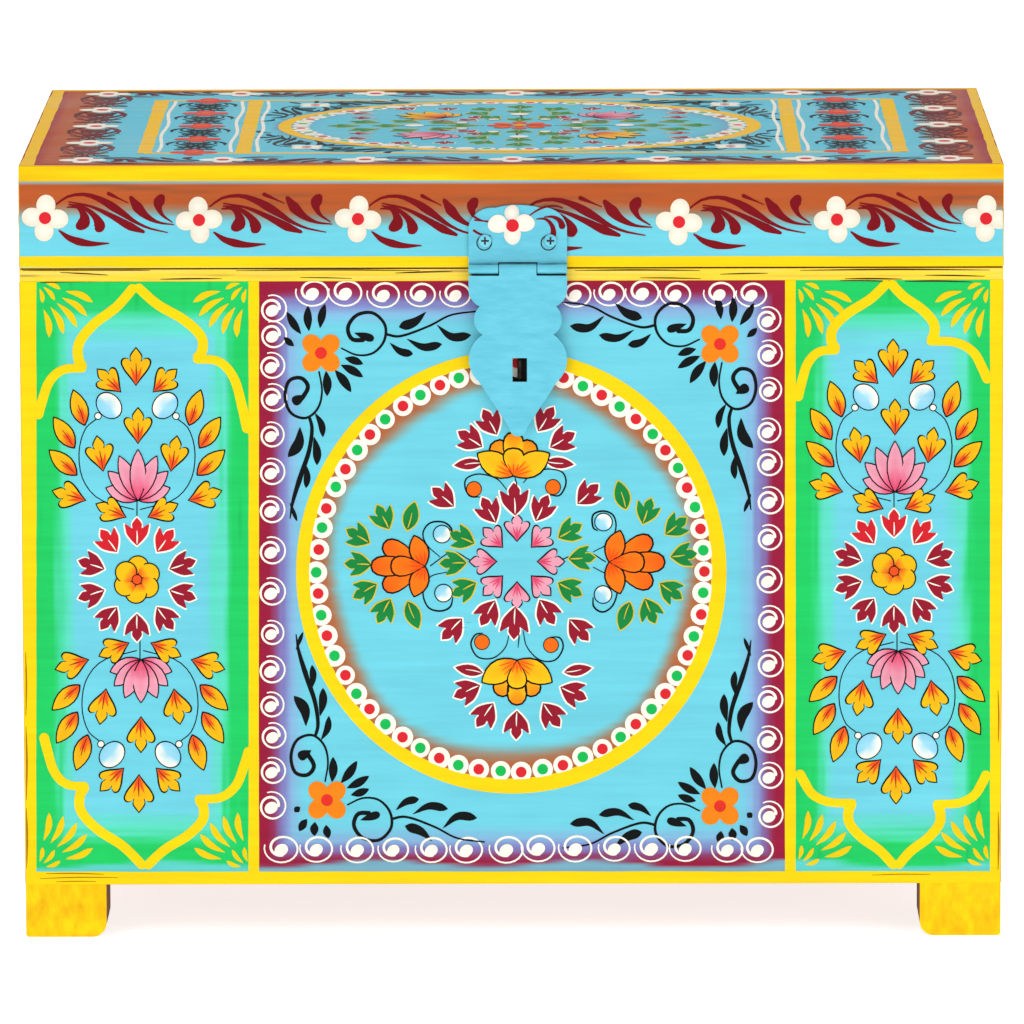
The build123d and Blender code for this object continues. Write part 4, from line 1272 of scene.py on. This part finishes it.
# Two petals of a flower show through the slot.
dot(front_motifs, (515.5, 372.5), 4.6, CREAM, 3.5)
dot(front_motifs, (516, 363), 4.8, RED, 3.8)
front_motifs.build("front_motif_paint", "box", "paintwork", paint_x, FACE_BODY)

# %% [markdown]
# ## The rim
# The thin strip between body and lid takes the knocks of the lid: its yellow is pale and streaky, with
# dark cracks along the grain. The board's own material could show that, but only this strip is so worn.
# The part behind the hasp is painted near-black: dirt, and painted shade for the gaps between the knuckles.

# %% Rim paint


def rim_ground(x, z):
    """Yellow with thin brown streaks that run along the strip, and dark ones at its lower edge."""
    px, py = front_points(x, z)
    worn = streaks(px, 3 * py, "x", 77) + 0.8 * streaks(px, 6 * py, "x", 78)
    colour = mix(YELLOW, RIM_WORN, 0.7 * smooth(0.1, 0.9, worn))
    colour = mix(colour, RIM_BARE, smooth(1.0, 1.25, worn))
    return mix(colour, RIM_PALE, 0.45 + 0.4 * smooth(0.0, 0.9, -worn))


rim = front_coat()
FACE_RIM = ((LEFT_X + EDGE, BODY_TOP_Z + 0.1), (RIGHT_X - EDGE, RIM_TOP_Z - 0.1))
rim.skin(*FACE_RIM, 0.8, rim_ground)
for a, b, width in (((22, 270.6), (150, 270.4), 1.6), ((60, 272.5), (108, 275.0), 1.3),
                    ((160, 279.2), (222, 278.6), 1.5), ((236, 270.6), (420, 270.6), 1.4),
                    ((300, 277.5), (352, 278.4), 1.1), ((395, 273.0), (452, 271.5), 1.6),
                    ((575, 270.4), (700, 270.5), 1.5), ((640, 277.8), (701, 278.6), 1.2),
                    ((720, 274.2), (768, 273.2), 1.3), ((800, 270.3), (990, 270.0), 1.6),
                    ((845, 278.6), (902, 279.0), 1.5), ((925, 275.2), (985, 276.2), 1.4)):
    comma(rim, a, b, 0.004, width, GRIME, 0, peak=0.45, count=16)
# Dirt, and painted shade for the gaps between the hasp's knuckles: a near-black patch behind the hasp.
rim.blob([[471, 270], [566, 270], [566, 280], [471, 280]], HASP_GRIME_AND_SHADE, 0)
rim.build("rim_front_paint", "box", "paintwork", paint_x, FACE_RIM)

# %% [markdown]
# ## The front of the lid
# Cream flowers, and between them wine-red strokes that swing like a vine. The painter makes each run with
# the same eight pulls of the brush. One table holds them in shares of the distance between two flowers,
# so the same run fits every gap and also turns the corner on the lid's top and sides.

# %% Lid band
VINE = (
    (((0.065, -13), (0.15, -22), (0.26, -24), (0.36, -19), (0.44, -12),
      (0.52, -4), (0.59, 3), (0.68, 9), (0.80, 13)), (1.5, 3.4, 8.0, 3.2, 1.0)),
    (((0.40, -26), (0.47, -21), (0.54, -16)), (3.8, 3.2, 2.0, 1.2, 0.8)),
    (((0.55, -23), (0.60, -12), (0.66, -3), (0.74, 3), (0.84, 5)), (3.0, 10.0, 6.0, 2.5, 1.0)),
    (((0.765, -25), (0.735, -15), (0.76, -5), (0.83, 3)), (6.0, 10.5, 5.0, 2.5, 1.0)),
    (((0.14, -11), (0.21, -11), (0.25, -4), (0.252, 4), (0.205, 10)), (1.2, 3.0, 7.0, 12.0, 7.0)),
    (((0.15, -14), (0.25, -11), (0.325, -2), (0.355, 7), (0.335, 13)), (1.2, 3.0, 6.0, 11.0, 6.5)),
    (((0.15, -16.5), (0.30, -12), (0.43, -3), (0.55, 7), (0.65, 13)), (1.2, 2.5, 5.0, 8.0, 2.5)),
    (((0.09, 12), (0.17, 20.5), (0.29, 25), (0.42, 24.5)), (1.5, 5.0, 7.5, 4.5, 1.0)),
)


def vine(coat, start, end, tint=WINE, flip=1):
    """A run of strokes between two flowers: an S over the top, hooks at the near end, commas at the far end.

    Each stroke of VINE is its places, in shares of the run and points to its right, and five widths along it.
    """
    start, run = np.array(start, float), np.subtract(end, start)
    across = flip * np.array([-run[1], run[0]]) / np.linalg.norm(run)
    for places, widths in VINE:
        line = curve_through([start + run * x + across * y for x, y in places], 18)
        widths = np.interp(np.linspace(0, 4, 18), range(5), widths) * np.linalg.norm(run) / 142
        coat.stroke(line, widths, tint, 1)


LID_FLOWERS = ((45, 218), (199, 220), (358, 219), (512, 224), (679, 222), (837, 219.5), (986, 218.5))
for a, b in zip(LID_FLOWERS[:-1], LID_FLOWERS[1:]):
    vine(lid_front, a, b)
for k, point in enumerate(LID_FLOWERS):
    if k != 3:
        four_petals(lid_front, point, 41, PETAL_CREAM, RED, 4 * (-1) ** k, 2, edge=PETAL_EDGE)
# Dirt, and painted shade for the gaps between the hasp's knuckles: a near-black patch behind the hasp.
lid_front.blob([[471, 259], [566, 259], [566, 267], [471, 267]], HASP_GRIME_AND_SHADE, 1)
lid_front.build("lid_front_paint", "lid", "paintwork", paint_x, FACE_LID)

# %% [markdown]
# ## The leaf of the hasp
# The band of flowers runs on over the upper leaf of the hasp, a little worn. The strokes lie on the metal,
# 1.2 mm in front of the board, so they are a coat of their own.

# %% Hasp paint
HASP_Y = FRONT_Y - 1.2
leaf_paint = Coat(lambda p: sight(p, 1, HASP_Y)[:, [0, 2]], (0, HASP_Y, 0), (1, 0, 0), (0, 0, 1))
for k, (x, y, size) in enumerate(((512, 213, 7.5), (525, 223, 8.8), (512.5, 235, 8.6), (498, 224, 9.2))):
    dent = 1 + 0.04 * np.sin(3 * np.linspace(0, 2 * math.pi, 20, endpoint=False) + k)
    petal = circle(size, 20, 1.1) * dent[:, None]
    leaf_paint.blob(turned(petal, (x, y), 90 * k), CREAM * (0.86 if k == 0 else 0.94), 1 + 0.5 * (k % 2), CREAM)
dot(leaf_paint, (512.5, 225.5), 6.4, RED, 2.5)
for points, widths in (
    (((529, 216), (536, 211), (545, 207), (556, 206), (563, 208)), (1.2, 2.4, 1.6)),
    (((536, 219), (545, 219), (551, 224), (553.5, 232), (551, 241)), (1.0, 4.0, 7.0)),
    (((544, 217), (553, 217), (560, 221), (563, 229)), (1.0, 4.0, 7.5)),
    (((473, 216), (480, 220), (488, 222)), (2.4, 2.0, 1.0)),
    (((473, 230), (480, 234), (491, 236)), (2.6, 2.2, 1.0)),
    (((474, 220), (484, 221), (490, 221)), (1.6, 1.4, 0.8)),
):
    line = curve_through(points, 14)
    leaf_paint.stroke(line, np.interp(np.linspace(0, 2, 14), range(3), widths), WINE, 0)
for x in (484.2, 548.4):
    leaf_paint.stroke(turned(circle(7.3, 24), (x, 242.8), 0), 1.1, GRIME, 0, closed=True)
leaf_paint.build("hasp_leaf_paint", "lid", "paintwork", paint_x)

# %% [markdown]
# ## The top of the lid
# A blue field with a rust border, gold bars, rows of flowers, and a round wreath in a gold ring. The photo
# shows it at a flat angle, so its pattern is laid out in plain numbers from the middle of the lid and
# repeats the flowers, vines, ring and leaves of the front. This coat is rubbed matt by things stood on it.

# %% Lid top
HALF_X, HALF_Y = HALF_WIDTH / UNIT, HALF_DEPTH / UNIT
LINE_Y = 234.0
BARS = (-369.0, -270.0, 284.0, 391.0)


def top_ground(x, y):
    """Rust at the rim, wider at the two ends, and blue inside, in points from the middle of the lid."""
    px, py = x / UNIT, -y / UNIT
    end = HALF_X - np.abs(px) + 5 * streaks(px, py, "y", 41)
    side = HALF_Y - np.abs(py) + 4 * streaks(px, py, "x", 42)
    rim = mix(MAROON, RUST, smooth(4, 30, np.minimum(end, side)))
    colour = mix(TOP_BLUE, rim, np.maximum(1 - smooth(38, 84, end), 1 - smooth(14, 46, side)))
    radius = np.hypot(px / 245, py / 228)
    haze = smooth(0.78, 0.98, radius) * (radius < 1)
    return mix(colour, RING_HAZE, 0.45 * haze)


lid_top = plane_coat((0, 0, LID_TOP_Z), (1, 0, 0), (0, 1, 0))
lid_top.skin((LEFT_X + EDGE, FRONT_Y + EDGE), (RIGHT_X - EDGE, BACK_Y - EDGE), 2.5, top_ground)
for seed, (a, b, width) in enumerate([
    ((-HALF_X + 8, -HALF_Y + 1), (-HALF_X + 8, HALF_Y - 1), 13.5),
    ((HALF_X - 6, -HALF_Y + 1), (HALF_X - 6, HALF_Y - 1), 10),
    ((-HALF_X + 1, -HALF_Y + 8), (HALF_X - 1, -HALF_Y + 8), 14),
    ((-HALF_X + 1, HALF_Y - 3), (HALF_X - 1, HALF_Y - 3), 4.5),
    ((BARS[0], -LINE_Y), (BARS[3], -LINE_Y), 9), ((BARS[0], LINE_Y), (BARS[3], LINE_Y), 9),
]):
    band(lid_top, a, b, width, GOLD, 0, seed + 60, 1.2)
for k, x in enumerate(BARS):
    band(lid_top, (x, -LINE_Y), (x, LINE_Y), 15, GOLD, 1, k + 70, 1.5)
for x in (BARS[0] + 13, BARS[1] - 13, BARS[1] + 13, BARS[2] - 13, BARS[2] + 13, BARS[3] - 13):
    y = np.linspace(-LINE_Y + 8, LINE_Y - 8, 60)
    lid_top.stroke(np.stack([x + 1.8 * np.sin(y / 31.0 + x), y], 1), 3.6, CREAM, 1)

# %% Flowers and ring of the lid
rows = np.linspace(-228, 228, 5)
for x in ((BARS[0] + BARS[1]) / 2, (BARS[2] + BARS[3]) / 2):
    for k, y in enumerate(rows):
        four_petals(lid_top, (x, y), 42, mix(RED, ORANGE, 0.25), mix(RED, ORANGE, 0.6), 0, 2)
        for flip in (-1, 1):
            if k < 4:
                vine(lid_top, (x - 4 * flip, y + 8), (x - 4 * flip, rows[k + 1]), BLACK, flip)
rows = np.linspace(-292, 292, 5)
for x in (-428, 438):
    for k, y in enumerate(rows):
        four_petals(lid_top, (x, y), 42, CREAM, RED, 0, 2)
        for flip in (-1, 1):
            if k < 4:
                vine(lid_top, (x, y), (x, rows[k + 1]), mix(WINE, BLACK, 0.4) if flip * x < 0 else WINE, flip)
flowers = (-428, -288, -146, 1, 148, 294, 438)
for y in (-292, 292):
    for k, x in enumerate(flowers):
        if 0 < k < 6:
            four_petals(lid_top, (x, y), 42, CREAM, RED, 0, 2)
        if k < 6:
            vine(lid_top, (x, y), (flowers[k + 1], y), mix(WINE, BLACK, 0.3), (-1) ** k)
ring(lid_top, (7, 0), (241, 221), 14, 66, 16, 9.4, 5.0, (RED, CREAM * 0.96, DOT_GREEN, CREAM * 0.96), GOLD)
for sx in (-1, 1):
    for sy in (-1, 1):
        at = (7 + sx * 214, sy * 186)
        four_petals(lid_top, at, 34, CREAM, RED, 45, 2)
        spray(lid_top, at, (45, 90, 0, -45, 135), 22, 40, 6, BLACK)
        vine(lid_top, at, (7 + sx * 96, sy * 222), BLACK, sx * sy)
        vine(lid_top, at, (7 + sx * 254, sy * 62), BLACK, -sx * sy)
        for k in range(5):
            angle = math.atan2(sy * 150, sx * 262) + 0.13 * (k - 2) * sx * sy
            a = (7 + 262 * math.cos(angle), 240 * math.sin(angle))
            if abs(a[1]) < LINE_Y - 12 and abs(a[0]) < 262:
                comma(lid_top, a, (a[0] + 14 * sx, a[1] - 20 * sy), 0.2, 6.5, BLACK, 1)


# %% Wreath of the lid


def top_wreath(coat, centre):
    """The lid's wreath: a red flower, lotuses on the diagonals and green leaves between them."""

    def at(distance, angle, squash=0.92):
        """A point from its distance and its angle to the far edge, a little flattened in depth."""
        spread, turn = 1.2 * distance, math.radians(angle)
        return (centre[0] + spread * math.sin(turn), centre[1] - squash * spread * math.cos(turn))

    def green_leaf(distance, swing):
        """A green leaf beside the straight axis."""
        leaf(coat, at(distance, axis + swing), axis + swing * 1.6, 34, LEAF_GREEN, LEAF_GREEN * 0.88,
             OUTLINE_GOLD, OUTLINE_GOLD)

    def wine_leaf(distance, swing):
        """A wine-red leaf beside the diagonal."""
        leaf(coat, at(distance, diagonal + swing), diagonal + swing * 2, 28, LEAF_WINE, LEAF_WINE * 0.9,
             CREAM, CREAM, 1.5)

    for k in range(8):
        spot = at(17, 45 * k)
        tint = mix(RED, ORANGE, 0.5 if k % 2 else 0.1)
        coat.blob(turned(drop(26, 17), spot, 45 * k), tint, 2 + 0.4 * (k % 2), mix(RED, ORANGE, 0.7))
    dot(coat, centre, 7, LEAF_GOLD, 4)
    for quarter in range(4):
        axis = 90 * quarter
        stem(coat, [at(30, axis), at(60, axis + 2), at(92, axis)], 2.0)
        for distance, swing in ((48, 0), (70, 21), (70, -21), (112, 0), (104, 20), (104, -20),
                                (136, 13), (136, -13), (150, 0)):
            green_leaf(distance, swing)
        dot(coat, at(90, axis), 10, CREAM, 3)
        diagonal = axis + 45
        petal, foot = ((LOTUS_YELLOW, LOTUS_RED) if quarter % 2 else (PINK, ROSE))
        for distance, swing in ((62, 0), (74, 16), (74, -16), (148, 20), (148, -20), (168, 9), (168, -9)):
            wine_leaf(distance, swing)
        lotus(coat, at(92, diagonal), diagonal, 66, 56, petal, foot)
        for swing in (-13, 13):
            dot(coat, at(54, diagonal + 1.6 * swing), 7, BLACK, 1)
            dot(coat, at(54, diagonal + 1.6 * swing), 6, CREAM, 2)


top_wreath(lid_top, (7, 0))
lid_top.build("lid_top_paint", "lid", "paintwork", paint_top)

# %% [markdown]
# ## Sides and back
# The photograph doesn't show them. They could be left plain, but such boxes are usually painted on the
# sides and more simply at the back, which stands against a wall. So the sides repeat the ring, wreath and
# border of the front, the back has one plant on a green and blue ground, and the lid's flower band runs
# all the way round. The functions of the front do it all, on a coat that faces another way.

# %% Sides and back
BODY_MIDDLE_Z = (BODY_LOW_Z + BODY_TOP_Z) / 2
HALF_BODY = (BODY_TOP_Z - BODY_LOW_Z) / 2 / UNIT
LID_MIDDLE_Z = (RAIL_LOW_Z + RAIL_TOP_Z) / 2
HALF_LID = (RAIL_TOP_Z - RAIL_LOW_Z) / 2 / UNIT


def decorated_side(name, origin, right, half):
    """A side board: yellow frame, curls round the border, ring, wreath and corner sprays."""
    coat = plane_coat(origin, right, (0, 0, 1))
    inner = half - 15
    panel = (-inner, -HALF_BODY, inner, HALF_BODY - 13)
    middle = (0.0, -6.0)
    coat.skin(
        (-half * UNIT + EDGE, -HALF_BODY * UNIT + EDGE), (half * UNIT - EDGE, HALF_BODY * UNIT - 0.4), 2.0,
        lambda x, y: middle_panel(x / UNIT, -y / UNIT, panel, middle),
    )
    band(coat, (-half + 8, -HALF_BODY + 1), (-half + 8, HALF_BODY - 1), 14, seed=80)
    band(coat, (half - 8, -HALF_BODY + 1), (half - 8, HALF_BODY - 1), 14, seed=81)
    band(coat, (-half + 1, HALF_BODY - 7), (half - 1, HALF_BODY - 7), 12.5, seed=82)
    ring(coat, middle, RING_RADII, 14.5, 58, 14, 9.6, 5.2, (RED, DOT_GREEN))
    for x in np.linspace(-inner + 18, inner - 18, 18):
        border_curl(coat, (x, -HALF_BODY + 16), 14.5, 260)
        border_curl(coat, (x, HALF_BODY - 30), 14.5, 265)
    for y in np.linspace(-HALF_BODY + 52, HALF_BODY - 66, 14):
        border_curl(coat, (-inner + 15, y), 14, 20)
        border_curl(coat, (inner - 15, y), 14, 330)
    middle_motif(coat, (middle[0] - HUB[0], middle[1] - HUB[1]))
    for sx in (-1, 1):
        for sy in (-1, 1):
            corner(coat, (sx * (inner - 76), middle[1] + sy * 222), -sx, -sy)
    coat.build(name, "box", "paintwork", paint_x)


decorated_side("left_side_paint", (LEFT_X, 0, BODY_MIDDLE_Z), (0, -1, 0), HALF_Y)
decorated_side("right_side_paint", (RIGHT_X, 0, BODY_MIDDLE_Z), (0, 1, 0), HALF_Y)

# %% Back
back = plane_coat((0, BACK_Y, BODY_MIDDLE_Z), (-1, 0, 0), (0, 0, 1))
back_panel = (-HALF_X + 15, -HALF_BODY, HALF_X - 15, HALF_BODY - 13)
back.skin((LEFT_X + EDGE, -HALF_BODY * UNIT + EDGE), (RIGHT_X - EDGE, HALF_BODY * UNIT - 0.4), 2.0,
          lambda x, y: green_panel(x / UNIT, -y / UNIT, back_panel, 51))
band(back, (-HALF_X + 8, -HALF_BODY + 1), (-HALF_X + 8, HALF_BODY - 1), 14, seed=90)
band(back, (HALF_X - 8, -HALF_BODY + 1), (HALF_X - 8, HALF_BODY - 1), 14, seed=91)
band(back, (-HALF_X + 1, HALF_BODY - 7), (HALF_X - 1, HALF_BODY - 7), 12.5, seed=92)
for x, y, sx, sy in ((-HALF_X + 16, -HALF_BODY, 1, 1), (HALF_X - 16, -HALF_BODY, -1, 1),
                     (-HALF_X + 16, HALF_BODY - 13, 1, -1), (HALF_X - 16, HALF_BODY - 13, -1, -1)):
    grass(back, (x, y), sx, sy)
side_panel(back, 0, -4)
back.build("back_paint", "box", "paintwork", paint_x)

# %% Sides and back of the lid


def lid_band(name, origin, right, half):
    """A side of the lid: rust over sky blue, a yellow strip below, flowers and vines."""
    coat = plane_coat(origin, right, (0, 0, 1))
    coat.skin(
        (-half * UNIT + EDGE, -HALF_LID * UNIT + EDGE), (half * UNIT - EDGE, HALF_LID * UNIT - 0.1), 2.0,
        lambda x, y: mix(RUST, SKY, smooth(-22, 2, -y / UNIT + 3 * streaks(x / UNIT, -y / UNIT, "x", 33))),
    )
    band(coat, (-half + 1, HALF_LID - 6), (half - 1, HALF_LID - 6), 11.5, seed=95)
    count = int(round(2 * (half - 26) / 156))
    flowers = [(x, -5.0) for x in np.linspace(-half + 26, half - 26, count + 1)]
    for a, b in zip(flowers[:-1], flowers[1:]):
        vine(coat, a, b)
    for point in flowers:
        four_petals(coat, point, 41, CREAM, RED, 4, 2)
    coat.build(name, "lid", "paintwork", paint_x)


lid_band("lid_left_paint", (LEFT_X, 0, LID_MIDDLE_Z), (0, -1, 0), HALF_Y)
lid_band("lid_right_paint", (RIGHT_X, 0, LID_MIDDLE_Z), (0, 1, 0), HALF_Y)
lid_band("lid_back_paint", (0, BACK_Y, LID_MIDDLE_Z), (-1, 0, 0), HALF_X)

# %% [markdown]
# ## Floor and light
# The box was photographed on white, in soft light from large lamps in front and above. A white backdrop
# could be lit until it burns out, but that light would fall on the box too. Here the world is white only
# for what the camera, a mirror or a glass would see, and pale for the light on the paint.

# %% Floor and light
# Matt painted board: pale, with no mirror image, and a little light of its own so its shadow stays soft.
floor_material, tree, shader, place = new_material("pale_floor")
speckle = noise(tree, place, 40, (1, 1, 1), 2.0)
tree.links.new(blend_colour(tree, speckle, linear("#F6F6F4"), linear("#FAFAF9")), shader.inputs["Base Color"])
shader.inputs["Roughness"].default_value = 0.9
shader.inputs["Emission Color"].default_value = (1, 1, 1, 1)
shader.inputs["Emission Strength"].default_value = 0.75
floor_mesh = bpy.data.meshes.new("floor")
floor_mesh.from_pydata([(-8, -8, 0), (8, -8, 0), (8, 8, 0), (-8, 8, 0)], [], [[0, 1, 2, 3]])
floor_mesh.materials.append(floor_material)
floor = bpy.data.objects.new("floor", floor_mesh)
bpy.context.scene.collection.objects.link(floor)


def lamp(name, place, aim, size, power):
    """A square soft light at a place, turned towards another."""
    data = bpy.data.lights.new(name, "AREA")
    data.size, data.energy = size, power
    light = bpy.data.objects.new(name, data)
    bpy.context.scene.collection.objects.link(light)
    way = Matrix.Translation(place).to_translation() - Matrix.Translation(aim).to_translation()
    light.matrix_world = Matrix.Translation(place) @ way.to_track_quat("Z", "Y").to_matrix().to_4x4()


# %% Lamps and surround
# Powers are in watts. The key light is brightest and comes from the left.
lamp("key", (-1.6, -2.6, 2.2), (0, -0.1, 0.15), 1.8, 21.8)
lamp("fill", (2.0, -2.4, 1.3), (0, -0.1, 0.15), 2.0, 12.8)
lamp("overhead", (0, 0.2, 2.6), (0, 0, 0.2), 2.2, 12)
print("lamps:", sorted(light.name for light in bpy.data.lights))

world = bpy.data.worlds.new("surround")
bpy.context.scene.world = world
world.use_nodes = True
tree = world.node_tree
tree.nodes.clear()
ray = node(tree, "ShaderNodeLightPath").outputs
soft = node(tree, "ShaderNodeBackground", Color=(1, 1, 1, 1), Strength=0.46).outputs[0]
white = node(tree, "ShaderNodeBackground", Color=(1, 1, 1, 1), Strength=1.0).outputs[0]
looked_at = maths(tree, "MAXIMUM", ray["Is Camera Ray"], ray["Is Glossy Ray"])
seen = maths(tree, "MAXIMUM", looked_at, ray["Is Transmission Ray"])
mixed = node(tree, "ShaderNodeMixShader", i0=seen, i1=soft, i2=white).outputs[0]
node(tree, "ShaderNodeOutputWorld", Surface=mixed)
bpy.context.scene.view_settings.view_transform = "Standard"
